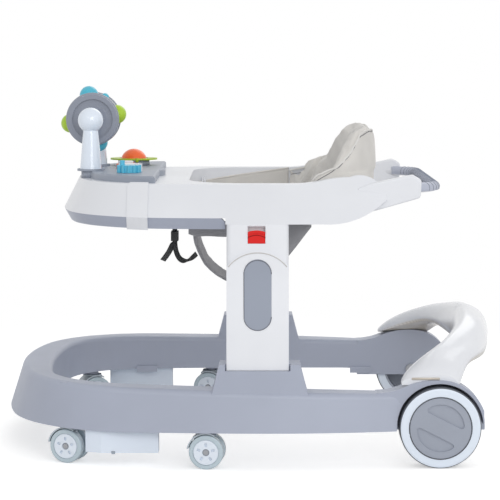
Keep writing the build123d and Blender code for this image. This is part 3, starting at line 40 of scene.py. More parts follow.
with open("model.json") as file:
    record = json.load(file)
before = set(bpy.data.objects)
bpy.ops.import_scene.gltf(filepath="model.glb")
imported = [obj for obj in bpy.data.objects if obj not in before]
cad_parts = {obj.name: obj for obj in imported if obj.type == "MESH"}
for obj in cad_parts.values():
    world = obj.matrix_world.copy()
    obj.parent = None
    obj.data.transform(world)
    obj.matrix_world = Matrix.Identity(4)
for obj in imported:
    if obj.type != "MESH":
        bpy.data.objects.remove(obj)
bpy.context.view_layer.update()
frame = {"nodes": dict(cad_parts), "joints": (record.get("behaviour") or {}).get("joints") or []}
solids = frame["nodes"]
scene = bpy.context.scene
scene.view_settings.view_transform = "Standard"

SIDES = ((-1.0, "left"), (1.0, "right"))

# Camera
CAMERA_PLACE = (0.0, -3.0, 0.5811)
CAMERA_DIP = 5.8            # degrees below level
LENS = 144.0
SENSOR = 36.0
camera = bpy.data.objects.new("camera", bpy.data.cameras.new("camera"))
scene.collection.objects.link(camera)
camera.location = CAMERA_PLACE
camera.rotation_euler = (math.radians(90.0 - CAMERA_DIP), 0.0, 0.0)
camera.data.lens = LENS
camera.data.sensor_width = SENSOR
scene.camera = camera


class Value:
    """What varies over a surface, with arithmetic."""

    def __init__(self, shading, socket):
        self.shading = shading
        self.socket = socket

    def work(self, operation, first, second):
        return self.shading.node("ShaderNodeMath", {"operation": operation}, {0: first, 1: second})

    def __add__(self, other):
        return self.work("ADD", self, other)

    __radd__ = __add__

    def __mul__(self, other):
        return self.work("MULTIPLY", self, other)

    __rmul__ = __mul__

    def __sub__(self, other):
        return self.work("SUBTRACT", self, other)

    def __rsub__(self, other):
        return self.work("SUBTRACT", other, self)

    def larger(self, other):
        return self.work("MAXIMUM", self, other)

    def sine(self):
        return self.work("SINE", self, 0.0)

    def step(self, low, high):
        """0 below low, 1 above high, smooth between."""
        settings = {"interpolation_type": "SMOOTHSTEP"}
        inputs = {"Value": self, "From Min": low, "From Max": high}
        return self.shading.node("ShaderNodeMapRange", settings, inputs)


class Shading:
    """Nodes round one last shader. node() makes every other node."""

    def __init__(self, holder, shader, output):
        holder.use_nodes = True
        self.tree = holder.node_tree
        self.tree.nodes.clear()
        self.shader = self.tree.nodes.new(shader)
        self.tree.links.new(self.shader.outputs[0], self.tree.nodes.new(output).inputs["Surface"])

    def node(self, kind, settings=None, inputs=None, output=0):
        made = self.tree.nodes.new(kind)
        for key, value in (settings or {}).items():
            setattr(made, key, value)
        for key, value in (inputs or {}).items():
            if isinstance(value, Value):
                self.tree.links.new(value.socket, made.inputs[key])
            else:
                made.inputs[key].default_value = value
        return Value(self, made.outputs[output])

    def mix(self, share, first, second):
        inputs = {0: share, 6: first, 7: second}
        return self.node("ShaderNodeMix", {"data_type": "RGBA"}, inputs, 2)

    def feed(self, socket, value):
        self.tree.links.new(value.socket, self.shader.inputs[socket])


class Finish(Shading):
    """A material. Values that are the same all over go on the shader's own sockets."""

    def __init__(self, name, shader="ShaderNodeBsdfPrincipled", **fixed):
        self.material = bpy.data.materials.new(name)
        super().__init__(self.material, shader, "ShaderNodeOutputMaterial")
        for socket, value in fixed.items():
            self.shader.inputs[socket.replace("_", " ")].default_value = value

    def place(self):
        return self.node("ShaderNodeTexCoord", output="Object")

    def axes(self):
        """X, Y and Z of a point of the walker at rest."""
        place = self.place()
        return [self.node("ShaderNodeSeparateXYZ", None, {0: place}, axis) for axis in ("X", "Y", "Z")]

    def facing_up(self):
        """Upward share of the surface's direction, from -1 to 1."""
        facing = self.node("ShaderNodeNewGeometry", output="Normal")
        return self.node("ShaderNodeSeparateXYZ", None, {0: facing}, "Z")

    def noise(self, scale, detail=2.0):
        inputs = {"Vector": self.place(), "Scale": scale, "Detail": detail}
        return self.node("ShaderNodeTexNoise", None, inputs)

    def bump(self, height, distance):
        inputs = {"Height": height, "Distance": distance, "Strength": 1.0}
        self.feed("Normal", self.node("ShaderNodeBump", None, inputs, "Normal"))


def linear(red, green, blue):
    """Colour from 0 to 255 as seen, as the shader takes it."""
    def one(level):
        share = level / 255.0
        return share / 12.92 if share <= 0.04045 else ((share + 0.055) / 1.055) ** 2.4
    return one(red), one(green), one(blue), 1.0


def shade(colour, factor):
    return colour[0] * factor, colour[1] * factor, colour[2] * factor, 1.0


# Finishes: scales are noise cells to the metre, depths are metres
CLOUD_EDGES = (0.3, 0.7)
CLOUD_DETAIL = 3.0
PLASTIC_CLOUD = 7.0
PLASTIC_DARKER, PLASTIC_LIGHTER = 0.97, 1.03
GLOSS_SCALE = 40.0
GLOSS_RANGE = 0.12
FINE_GRAIN = 1400.0
COARSE_GRAIN = 260.0
COARSE_SHARE = 0.6
GRAIN_DEPTH = 0.00003
CLOTH_CLOUD = 18.0
CLOTH_DARKER, CLOTH_LIGHTER = 0.90, 1.05
CROSS_THREADS = (0.8, 0.6)  # share of X and Y in the run of the cross threads
THREAD_TONE = 0.82
THREAD_SHARE = 0.35
FUZZ_SCALE = 900.0


def grained(name, roughness, **fixed):
    """Plastic with a fine tool grain and gloss that varies a little, still without its colour."""
    finish = Finish(name, **fixed)
    finish.feed("Roughness", finish.noise(GLOSS_SCALE) * GLOSS_RANGE + (roughness - GLOSS_RANGE / 2.0))
    coarse = finish.noise(COARSE_GRAIN, 1.0) * COARSE_SHARE
    finish.bump(finish.noise(FINE_GRAIN, 1.0) + coarse, GRAIN_DEPTH)
    return finish


def moulded(name, colour, roughness, **fixed):
    """Moulded plastic of one colour, slightly cloudy."""
    finish = grained(name, roughness, **fixed)
    cloud = finish.noise(PLASTIC_CLOUD, CLOUD_DETAIL).step(*CLOUD_EDGES)
    tone = finish.mix(cloud, shade(colour, PLASTIC_DARKER), shade(colour, PLASTIC_LIGHTER))
    finish.feed("Base Color", tone)
    return finish


def woven(name, colour, thread, depth):
    """Plain weave on any surface: threads up and across, with soft colour changes."""
    finish = Finish(name, Roughness=0.9, Sheen_Weight=0.25, Sheen_Roughness=0.5)
    x, y, z = finish.axes()
    turn = 2.0 * math.pi / thread
    across = ((x * CROSS_THREADS[0] + y * CROSS_THREADS[1]) * turn).sine()
    weave = (z * turn).sine().larger(across)
    cloud = finish.noise(CLOTH_CLOUD, CLOUD_DETAIL).step(*CLOUD_EDGES)
    tone = finish.mix(cloud, shade(colour, CLOTH_DARKER), shade(colour, CLOTH_LIGHTER))
    threads = (weave * 0.5 + 0.5) * THREAD_SHARE
    finish.feed("Base Color", finish.mix(threads, tone, shade(colour, THREAD_TONE)))
    finish.bump(weave + finish.noise(FUZZ_SCALE), depth)
    return finish


WHITE = linear(232, 234, 239)
PALE = linear(229, 238, 250)
BASE_GREY = linear(171, 177, 193)
HUB_GREY = linear(160, 166, 179)
TREAD_GREY = linear(84, 88, 96)

white_plastic = moulded("white_plastic", WHITE, 0.34, Coat_Weight=0.15, Coat_Roughness=0.2)
base_plastic = moulded("base_plastic", BASE_GREY, 0.42)
panel_plastic = moulded("panel_plastic", linear(152, 159, 172), 0.42)
pale_plastic = moulded("pale_plastic", PALE, 0.4)
post_plastic = moulded("post_plastic", PALE, 0.16, Coat_Weight=0.6, Coat_Roughness=0.06)
inset_plastic = moulded("inset_plastic", linear(150, 157, 172), 0.45)
gap_shade = moulded("gap_shade", linear(112, 115, 124), 0.8)
step_shade = moulded("step_shade", linear(204, 202, 200), 0.6)
hub_plastic = moulded("hub_plastic", HUB_GREY, 0.42)
grip_rubber = moulded("grip_rubber", linear(186, 191, 206), 0.5)
# darker rubber: painted shade of the grip's grooves
groove_shade_rubber = moulded("groove_shade_rubber", linear(132, 138, 152), 0.65)
edge_rubber = moulded("edge_rubber", TREAD_GREY, 0.6)
disc_plastic = moulded("disc_plastic", linear(140, 146, 160), 0.2, Coat_Weight=0.4)
red_plastic = moulded("red_plastic", linear(224, 30, 26), 0.35, Specular_IOR_Level=0.2)
# darker red: painted shade along the latch's ridge
ridge_shade_red = moulded("ridge_shade_red", linear(150, 16, 16), 0.4, Specular_IOR_Level=0.2)
cyan_plastic = moulded("cyan_plastic", linear(95, 195, 225), 0.3)
orange_plastic = moulded("orange_plastic", linear(255, 112, 52), 0.3)
leaf_plastic = moulded("leaf_plastic", linear(178, 205, 52), 0.32)
knob_blue = moulded("knob_blue", linear(82, 190, 215), 0.3)
knob_green = moulded("knob_green", linear(178, 214, 56), 0.3)
black_plastic = moulded("black_plastic", linear(48, 49, 50), 0.45)
housing_plastic = moulded("housing_plastic", linear(190, 200, 208), 0.35)
snap_plastic = moulded("snap_plastic", linear(214, 205, 192), 0.4)
strip_rubber = moulded("strip_rubber", linear(160, 170, 182), 0.7)
steel = moulded("steel", linear(186, 188, 192), 0.28, Metallic=1.0)
seat_cloth = woven("seat_cloth", linear(230, 227, 222), 0.0011, 0.0001)
piping_cloth = woven("piping_cloth", linear(232, 230, 226), 0.0009, 0.00006)
# dark cloth: painted shade of the seat's seam
seam_shade = woven("seam_shade", linear(112, 112, 116), 0.0009, 0.00006)
lining_cloth = woven("lining_cloth", linear(218, 215, 210), 0.0012, 0.0001)
sling_cloth = woven("sling_cloth", linear(166, 166, 170), 0.0013, 0.00012)
webbing_cloth = woven("webbing_cloth", linear(62, 64, 64), 0.0016, 0.0002)


def axle_distance(finish, joint):
    """Distance of a point of a wheel from its axle."""
    place = finish.place()
    arm = finish.node("ShaderNodeVectorMath", {"operation": "SUBTRACT"}, {0: place, 1: joint["pos_m"]})
    off = finish.node("ShaderNodeVectorMath", {"operation": "CROSS_PRODUCT"}, {0: arm, 1: joint["axis"]})
    return finish.node("ShaderNodeVectorMath", {"operation": "LENGTH"}, {0: off}, "Value")


CASTER_SCREW = (0.0045, 0.0052)     # edges between two colours, as distances from the axle
CASTER_HUB = (0.0172, 0.0180)
TYRE_TREAD = (0.0550, 0.0555)
SCREW_GREY = linear(150, 156, 166)
CASTER_PALE = linear(232, 240, 250)
CASTER_TREAD = linear(192, 207, 215)


def caster_finish(name, joint):
    """Milky tread round a pale hub with a small screw."""
    finish = Finish(name, Coat_Weight=0.3, Coat_Roughness=0.15)
    radius = axle_distance(finish, joint)
    hub = finish.mix(radius.step(*CASTER_SCREW), SCREW_GREY, CASTER_PALE)
    finish.feed("Base Color", finish.mix(radius.step(*CASTER_HUB), hub, CASTER_TREAD))
    finish.feed("Roughness", finish.noise(60.0) * 0.15 + 0.22)
    finish.bump(finish.noise(500.0), 0.00004)
    return finish


def tyre_finish(name, joint):
    """Pale side wall with a dark tread."""
    finish = grained(name, 0.4)
    tread = axle_distance(finish, joint).step(*TYRE_TREAD)
    finish.feed("Base Color", finish.mix(tread, PALE, TREAD_GREY))
    return finish


BOW_RIB_STEP = 0.006
BOW_RIB_EDGES = (0.5, 1.0)
BOW_SIDE = (-0.55, -0.15)           # upward share of the surface between underside and side
# painted shade: warm darker tone for the underside and darker stripes for its ribs
BOW_UNDER_SHADE = linear(214, 207, 196)
BOW_RIB_SHADE = linear(186, 177, 164)


def bow_finish():
    """White shell with painted shade under it: where the surface faces down it turns a warm darker tone,
    striped darker for the shade of ribs.
    """
    finish = grained("bow_plastic", 0.22, Coat_Weight=0.4, Coat_Roughness=0.08)
    # painted shade: the colour darkens where the surface faces down
    under = 1.0 - finish.facing_up().step(*BOW_SIDE)
    x, y, z = finish.axes()
    rib_shade = (y * (2.0 * math.pi / BOW_RIB_STEP)).sine().step(*BOW_RIB_EDGES)
    finish.feed("Base Color", finish.mix(under, WHITE, finish.mix(rib_shade, BOW_UNDER_SHADE, BOW_RIB_SHADE)))
    return finish


def dress(finish, *names):
    for name in names:
        materials = solids[name].data.materials
        materials.clear()
        materials.append(finish.material)


def pair(name):
    return f"{name}_left", f"{name}_right"


dress(base_plastic, "base_ring", "rail_clips", "under_band")
dress(panel_plastic, "toy_panel")
dress(inset_plastic, *pair("column_inset"))
dress(white_plastic, "tray", "push_handle", "spinner_axle", "idler_gear")
dress(bow_finish(), "rear_bow")
dress(white_plastic, "squeaker_cap", *pair("column_shell"), *pair("mast"), *pair("joint_strap"))
dress(pale_plastic, *pair("brake_box"))
dress(post_plastic, *pair("spinner_post"))
dress(hub_plastic, *pair("rear_hub"))
dress(grip_rubber, "handle_grip")
dress(disc_plastic, *pair("spinner_disc"))
dress(red_plastic, *pair("latch_slider"))
dress(cyan_plastic, "peg_gear")
dress(orange_plastic, "squeaker_cup", "roller_ball")
dress(leaf_plastic, "leaf_plate")
dress(knob_blue, "spinner_knobs_blue")
dress(knob_green, "spinner_knobs_green")
dress(black_plastic, "strap_buckle")
dress(strip_rubber, *pair("brake_strip"))
dress(steel, *pair("rear_axle"))
for joint in frame["joints"]:
    child = joint["child"]
    if child.startswith("caster") and child.endswith("_wheels"):
        caster = child.removesuffix("_wheels")
        dress(caster_finish(caster, joint), child)
        dress(steel, caster + "_axle")
        dress(housing_plastic, caster + "_hood")
    if child.startswith("rear_wheel"):
        side = child.removeprefix("rear_wheel_")
        dress(tyre_finish("tyre_" + side, joint), "rear_tyre_" + side)


# Making of pieces
UPRIGHT = 0.2               # a heading this near to upright takes its side from Y
SWELL_FRAMES = 20


def add_piece(name, mesh, finish, body):
    piece = bpy.data.objects.new(name, mesh)
    scene.collection.objects.link(piece)
    mesh.materials.clear()
    mesh.materials.append(finish.material)
    for face in mesh.polygons:
        face.use_smooth = True
    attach(piece, body)
    return piece


def settled(piece):
    """The piece's mesh with its modifiers worked in."""
    bpy.context.view_layer.update()
    return bpy.data.meshes.new_from_object(piece.evaluated_get(bpy.context.evaluated_depsgraph_get()))


def work_in(piece, kind, **settings):
    """Add one modifier and work it into the mesh."""
    modifier = piece.modifiers.new(kind, kind)
    for key, value in settings.items():
        setattr(modifier, key, value)
    mesh = settled(piece)
    piece.modifiers.clear()
    piece.data = mesh


def skin(name, rings, closed=True, filled=True):
    """Mesh stretched over rings of points. Closed rings get end faces, unless filled is off."""
    work = bmesh.new()
    rows = [[work.verts.new(point) for point in ring] for ring in rings]
    count = len(rows[0]) if closed else len(rows[0]) - 1
    for first, second in zip(rows, rows[1:]):
        for index in range(count):
            after = (index + 1) % len(first)
            work.faces.new((first[index], first[after], second[after], second[index]))
    if closed and filled:
        work.faces.new(rows[0][::-1])
        work.faces.new(rows[-1])
    bmesh.ops.recalc_face_normals(work, faces=work.faces)
    mesh = bpy.data.meshes.new(name)
    work.to_mesh(mesh)
    work.free()
    return mesh


def headings(route):
    """Direction of travel at each point of a route."""
    ends = zip([route[0], *route[:-1]], [*route[1:], route[-1]])
    return [(after - before).normalized() for before, after in ends]


def tube(name, route, radius, finish, body, sides=10):
    """Round piping, binding or rib along a route of points."""
    rings = []
    for point, heading in zip(route, headings(route)):
        side = heading.cross(Vector((0.0, 0.0, 1.0)))
        if side.length < UPRIGHT:
            side = heading.cross(Vector((0.0, 1.0, 0.0)))
        side.normalize()
        up = side.cross(heading)
        turns = [2.0 * math.pi * turn / sides for turn in range(sides)]
        rings.append([point + (side * math.cos(turn) + up * math.sin(turn)) * radius for turn in turns])
    return add_piece(name, skin(name, rings), finish, body)


def surface_of(piece):
    """Surface of a piece as it is seen, to lay other pieces on."""
    bpy.context.view_layer.update()
    return BVHTree.FromObject(piece, bpy.context.evaluated_depsgraph_get())


def laid_on(surface, points, lift):
    """Points moved to the nearest place on a surface, and lifted off it."""
    laid = []
    for point in points:
        place, normal = surface.find_nearest(point)[:2]
        laid.append(place + normal * lift)
    return laid


def block(name, centre, size, turn, finish, body, slot, edge):
    """Small block with rounded edges, turned about the upright axis."""
    work = bmesh.new()
    bmesh.ops.create_cube(work, size=1.0)
    for vertex in work.verts:
        x, y, z = (part * length for part, length in zip(vertex.co, size))
        cos, sin = math.cos(turn), math.sin(turn)
        vertex.co = Vector(centre) + Vector((x * cos - y * sin, x * sin + y * cos, z))
    bmesh.ops.bevel(work, geom=work.edges[:], offset=edge, segments=2, affect="EDGES")
    mesh = bpy.data.meshes.new(name)
    work.to_mesh(mesh)
    work.free()
    return add_piece(name, mesh, finish, body)


def stuffed(node, voxel, draw_in, pressure, cap):
    """Copy of a soft solid, remeshed and blown up like a filled cover. cap(point) limits the swelling."""
    piece = bpy.data.objects.new(node + "_filled", solids[node].data.copy())
    scene.collection.objects.link(piece)
    work_in(piece, "REMESH", mode="VOXEL", voxel_size=voxel)
    for vertex, normal in zip(piece.data.vertices, [v.normal.copy() for v in piece.data.vertices]):
        vertex.co -= normal * min(draw_in, cap(vertex.co))
    start = [vertex.co.copy() for vertex in piece.data.vertices]
    cloth = piece.modifiers.new("cloth", "CLOTH")
    cloth.settings.use_pressure = True
    cloth.settings.uniform_pressure_force = pressure
    cloth.settings.effector_weights.gravity = 0.0
    cloth.settings.quality = 6
    cloth.point_cache.frame_start = 1
    cloth.point_cache.frame_end = SWELL_FRAMES
    for step in range(SWELL_FRAMES):
        scene.frame_set(step + 1)
    mesh = settled(piece)
    piece.modifiers.clear()
    scene.frame_set(1)
    piece.data = mesh
    for vertex, old in zip(piece.data.vertices, start):
        move = vertex.co - old
        limit = cap(old)
        if move.length > limit:
            vertex.co = old + move * (limit / move.length)
    mesh = piece.data
    bpy.data.objects.remove(piece)
    return mesh


def soften(piece):
    modifier = piece.modifiers.new("soften", "SUBSURF")
    modifier.levels = 1
    modifier.render_levels = 1


# Seat: the wall runs along a rounded plan from the tip of each wing round the back
SEAT_HALF_WIDTH = 0.1864
SEAT_REAR = 0.182
SEAT_CORNER = 0.125
SEAT_TIP = 0.062
SEAT_MIDDLE = SEAT_REAR - SEAT_CORNER * (1.0 - math.pi / 2.0) + SEAT_HALF_WIDTH - SEAT_CORNER
SEAT_TOP = [                # upper edge: distance along the wall and level
    (SEAT_TIP, 0.391), (0.092, 0.4045), (0.1203, 0.418), (0.1486, 0.437),
    (0.177, 0.466), (0.2053, 0.473), (0.2337, 0.474),
]
SEAT_SLOT_FOOT = (0.380, 21.4)      # level and degrees round the corner of the slot between wing and back
SEAT_SLOT_HEAD = (0.421, 32.6)
SEAT_HELD_LEVEL = 0.403     # the tray holds the outer face below this
SEAT_HELD_DEPTH = 0.008
SEAT_HELD_SWELL = 0.0004
SEAT_FOOT = 0.352           # below this the wall hardly swells
SEAT_FOOT_SWELL = 0.001
SEAT_SWELL = 0.006
SEAT_INNER_DEPTH = 0.006    # what lies deeper belongs to the inner face
SEAT_INNER_FOOT = 0.350
SLOT_WIDTH, SLOT_DEPTH = 0.0036, 0.009
RUMPLE = 0.0009
RIM_HEIGHT = 0.013
RIM_GROOVE_PLACE, RIM_GROOVE_WIDTH, RIM_GROOVE_DEPTH = 0.0075, 0.0022, 0.0022


def seat_run(point):
    """Distance along the seat's wall from the tip of its wing, and depth inside its outer face."""
    x, y = point.x, abs(point.y)
    corner_x = SEAT_REAR - SEAT_CORNER
    corner_y = SEAT_HALF_WIDTH - SEAT_CORNER
    if x < corner_x:
        return x, SEAT_HALF_WIDTH - y
    quarter = SEAT_CORNER * math.pi / 2.0
    if y < corner_y:
        return corner_x + quarter + corner_y - y, SEAT_REAR - x
    reach = math.hypot(x - corner_x, y - corner_y)
    return corner_x + SEAT_CORNER * math.atan2(x - corner_x, y - corner_y), SEAT_CORNER - reach


def seat_place(run):
    """Point on the left half of the seat's outer face, in plan, and the outward side there."""
    corner_x = SEAT_REAR - SEAT_CORNER
    corner_y = SEAT_HALF_WIDTH - SEAT_CORNER
    angle = (run - corner_x) / SEAT_CORNER
    if angle > math.pi / 2.0:
        return SEAT_REAR, SEAT_CORNER * (angle - math.pi / 2.0) - corner_y, 1.0, 0.0
    out_x, out_y = math.sin(angle), -math.cos(angle)
    return corner_x + SEAT_CORNER * out_x, SEAT_CORNER * out_y - corner_y, out_x, out_y


def seat_slot(z):
    """Distance along the wall of the slot between wing and back, which leans."""
    (low, foot), (high, head) = SEAT_SLOT_FOOT, SEAT_SLOT_HEAD
    angle = math.radians(foot + (head - foot) * (z - low) / (high - low))
    return SEAT_REAR - SEAT_CORNER + SEAT_CORNER * angle


def seat_top(run):
    for (low, z0), (high, z1) in zip(SEAT_TOP, SEAT_TOP[1:]):
        if run <= high:
            return z0 + (z1 - z0) * (run - low) / (high - low)
    return SEAT_TOP[-1][1]


def groove(distance, width, depth):
    return depth * math.exp(-(distance / width) ** 2)


def seat_cap(point):
    """The tray holds the outer face low down; the rest may swell."""
    depth = seat_run(point)[1]
    if point.z < SEAT_HELD_LEVEL and depth < SEAT_HELD_DEPTH:
        return SEAT_HELD_SWELL
    return SEAT_SWELL if point.z > SEAT_FOOT else SEAT_FOOT_SWELL


def seat_dip(point):
    """How far the cover is drawn in: at the slot, at its rumples and in the groove under the rim."""
    run, depth = seat_run(point)
    z = point.z
    dip = 0.0
    if depth > SEAT_INNER_DEPTH and z > SEAT_INNER_FOOT:
        dip += groove(run - seat_slot(z), SLOT_WIDTH, SLOT_DEPTH)
        dip += RUMPLE * math.sin(150.0 * run + 70.0 * z) * math.sin(190.0 * z - 45.0 * run)
    if z > seat_top(run) - RIM_HEIGHT:
        dip += groove(depth - RIM_GROOVE_PLACE, RIM_GROOVE_WIDTH, RIM_GROOVE_DEPTH)
    return dip


seat_mesh = stuffed("seat_back", voxel=0.0045, draw_in=0.003, pressure=4.0, cap=seat_cap)
seat_mesh.update()
for vertex, normal in zip(seat_mesh.vertices, [v.normal.copy() for v in seat_mesh.vertices]):
    vertex.co -= normal * seat_dip(vertex.co)
seat_cushion = add_piece("seat_cushion", seat_mesh, seat_cloth, "tray")
soften(seat_cushion)
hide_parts("seat_back")

PIPING = 0.0016
PIPING_DROP = 0.004         # below the seat's upper edge
PIPING_LIFT = 0.0005
SEAM = 0.0006
SEAM_DROP = 0.012
SEAT_EDGE_STEP = 0.004
SEAT_EDGE_OUT = 0.003
seat_surface = surface_of(seat_cushion)


def seat_edge(drop):
    """Points round the seat's outer upper edge, from one side to the other."""
    first = SEAT_TIP + SEAT_EDGE_STEP
    count = round((SEAT_MIDDLE - first) / SEAT_EDGE_STEP)
    left = []
    for index in range(count + 1):
        run = first + (SEAT_MIDDLE - first) * index / count
        x, y, out_x, out_y = seat_place(run)
        left.append(Vector((x + SEAT_EDGE_OUT * out_x, y + SEAT_EDGE_OUT * out_y, seat_top(run) - drop)))
    return left + [Vector((point.x, -point.y, point.z)) for point in reversed(left[:-1])]


rim = laid_on(seat_surface, seat_edge(PIPING_DROP), PIPING_LIFT)
tube("seat_piping", rim, PIPING, piping_cloth, "tray")
# painted shade: a dark line along the seam below the seat's upper edge
seam_shade_line = laid_on(seat_surface, seat_edge(SEAM_DROP), 0.0)
tube("seat_seam", seam_shade_line, SEAM, seam_shade, "tray", 6)

# Sling between the legs
SLING_SWELL = 0.0015
SLING_SAG = 0.004
SLING_MIDDLE = 0.066
SLING_HALF = 0.042
SLING_PULL = Vector((0.7, 0.0, -0.7))
sling_mesh = stuffed("seat_sling", voxel=0.004, draw_in=0.0008, pressure=2.0, cap=lambda point: SLING_SWELL)
for vertex in sling_mesh.vertices:
    share = max(0.0, 1.0 - ((vertex.co.x - SLING_MIDDLE) / SLING_HALF) ** 2)
    vertex.co += SLING_PULL * (SLING_SAG * share)
sling = add_piece("sling", sling_mesh, sling_cloth, "tray")
soften(sling)
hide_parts("seat_sling")

# Lining of the seat opening
OPENING_FRONT = -0.088
OPENING_HALF_WIDTH = 0.187
OPENING_CORNER = 0.080
LINING_END = 0.0615
LINING_TOP = 0.390          # at the wings
LINING_FRONT_TOP = 0.369
LINING_BOTTOM = 0.341
LINING_ROWS = 9
LINING_STEP = 0.004
LINING_INSET = 0.0016       # inside the edge of the opening
LINING_HEM = 0.001          # under the binding
BINDING = 0.0013
BINDING_INSET = 0.0018
BINDING_DROP = 0.0006
CLOTH_THICKNESS = 0.0012


def opening_route(inset, step):
    """Points round the opening, from left wing over front to right wing, with their outward sides."""
    half = OPENING_HALF_WIDTH - inset
    corner = OPENING_CORNER - inset
    front = OPENING_FRONT + inset
    bend_x = front + corner
    bend_y = half - corner
    route = []
    straight = LINING_END - bend_x
    count = round(straight / step)
    for index in range(count):
        route.append((LINING_END - straight * index / count, -half, 0.0, -1.0))
    count = round(corner * math.pi / 2.0 / step)
    for index in range(count):
        angle = math.pi / 2.0 * index / count
        out_x, out_y = -math.sin(angle), -math.cos(angle)
        route.append((bend_x + corner * out_x, -bend_y + corner * out_y, out_x, out_y))
    count = round(bend_y / step)
    for index in range(count):
        route.append((front, -bend_y + bend_y * index / count, -1.0, 0.0))
    other = [(x, -y, out_x, -out_y) for x, y, out_x, out_y in reversed(route)]
    return route + [(front, 0.0, -1.0, 0.0)] + other


def lining_top(x):
    """The upper edge falls towards the front."""
    return LINING_TOP - (LINING_TOP - LINING_FRONT_TOP) * (LINING_END - x) / (LINING_END - OPENING_FRONT)


def lining():
    """Fabric lining of the opening, gathered a little."""
    length = 0.0
    area = 0.0
    columns = []
    route = opening_route(LINING_INSET, LINING_STEP)
    for index, (x, y, out_x, out_y) in enumerate(route):
        high = lining_top(x) - LINING_HEM
        if index:
            step = math.hypot(x - route[index - 1][0], y - route[index - 1][1])
            length += step
            area += step * (high - LINING_BOTTOM)
        column = []
        for row in range(LINING_ROWS):
            share = row / (LINING_ROWS - 1)
            folds = 0.0006 * share * math.sin(length * 240.0)
            waves = 0.0004 * math.sin(length * 97.0 + 5.0 * share)
            sway = folds + waves - 0.0002
            z = high - (high - LINING_BOTTOM) * share
            column.append(Vector((x - out_x * sway, y - out_y * sway, z)))
        columns.append(column)
    piece = add_piece("lining", skin("lining", columns, False), lining_cloth, "tray")
    work_in(piece, "SOLIDIFY", thickness=CLOTH_THICKNESS, offset=0.0)
    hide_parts("seat_liner")


lining()

# Lower part of the lining, beside the legs
SKIRT_TOP = 0.336
SKIRT_HEM = [(-0.087, 0.318), (-0.075, 0.314), (-0.010, 0.314), (0.0535, 0.285), (0.0866, 0.327)]
SKIRT_COLUMNS = 60
SKIRT_ROWS = 6
SKIRT_INSET = 0.0025
SKIRT_LEAN = 0.004          # inwards, from top to hem
SKIRT_FOLDS = 0.0012
HEM_WAVE = 0.0006


def skirt_hem(x):
    """Level of the hem, which drops behind the leg and meets the sling."""
    for (first, low), (last, high) in zip(SKIRT_HEM, SKIRT_HEM[1:]):
        if x <= last:
            return low + (high - low) * (x - first) / (last - first)
    return SKIRT_HEM[-1][1]


def lining_skirt(side, mark):
    """Cloth that hangs below the tray, in soft folds."""
    first, last = SKIRT_HEM[0][0], SKIRT_HEM[-1][0]
    area = 0.0
    columns = []
    for index in range(SKIRT_COLUMNS + 1):
        x = first + (last - first) * index / SKIRT_COLUMNS
        drop = SKIRT_TOP - skirt_hem(x) + HEM_WAVE * math.sin(130.0 * x)
        area += drop * (last - first) / (SKIRT_COLUMNS + 1)
        column = []
        for row in range(SKIRT_ROWS):
            share = row / (SKIRT_ROWS - 1)
            sway = SKIRT_FOLDS * share * math.sin(95.0 * x + 1.5 * share)
            y = side * (OPENING_HALF_WIDTH - SKIRT_INSET - SKIRT_LEAN * share + sway)
            column.append(Vector((x, y, SKIRT_TOP - drop * share)))
        columns.append(column)
    name = "lining_skirt_" + mark
    piece = add_piece(name, skin(name, columns, False), sling_cloth, "tray")
    work_in(piece, "SOLIDIFY", thickness=CLOTH_THICKNESS, offset=0.0)


for side, mark in SIDES:
    lining_skirt(side, mark)

# Bound upper edge of the lining, and its clips
CLIP_ANGLES = (55.0, 60.0)  # degrees round the front corner
CLIP_SIZE = (0.0050, 0.0014, 0.013)
CLIP_INSET = 0.0032
SMALL_EDGE = 0.0004         # rounding of small blocks
edge = []
for x, y, out_x, out_y in opening_route(BINDING_INSET, LINING_STEP):
    edge.append(Vector((x, y, lining_top(x) - BINDING_DROP)))
tube("lining_binding", edge, BINDING, seat_cloth, "tray")


def lining_clips():
    """Two small white tabs on each side that hold the lining's edge at the front corners."""
    bend_x = OPENING_FRONT + OPENING_CORNER
    bend_y = OPENING_HALF_WIDTH - OPENING_CORNER
    reach = OPENING_CORNER - CLIP_INSET
    for side, mark in SIDES:
        for index, degrees in enumerate(CLIP_ANGLES):
            angle = math.radians(degrees)
            x = bend_x - reach * math.sin(angle)
            y = side * (bend_y + reach * math.cos(angle))
            name = f"lining_clip_{mark}_{index}"
            look = (white_plastic, "tray", "white_plastic", SMALL_EDGE)
            block(name, (x, y, lining_top(x)), CLIP_SIZE, side * angle, *look)


lining_clips()

# Crotch strap
STRAP_WIDTH = 0.020
STRAP_THICKNESS = 0.0016
STRAP_LEAN = math.radians(17.0)
TAIL_LEAN = math.radians(24.0)
STRAP_LOOP = 0.80           # share of its length at the middle of the loop
TAIL_LOOP = 0.0
LOOP_WIDTH = 0.08           # share of the length over which a loop takes the lean out
LOOP_EASE = 0.8
STRAP_FACETS = 16
STRAP_LINE = [
    (-0.1132, 0.3865), (-0.1132, 0.340), (-0.1132, 0.300), (-0.1130, 0.278),
    (-0.107, 0.263), (-0.098, 0.259), (-0.087, 0.264), (-0.0805, 0.271),
]
TAIL_LINE = [(-0.1140, 0.2905), (-0.118, 0.281), (-0.124, 0.270), (-0.1315, 0.2605)]


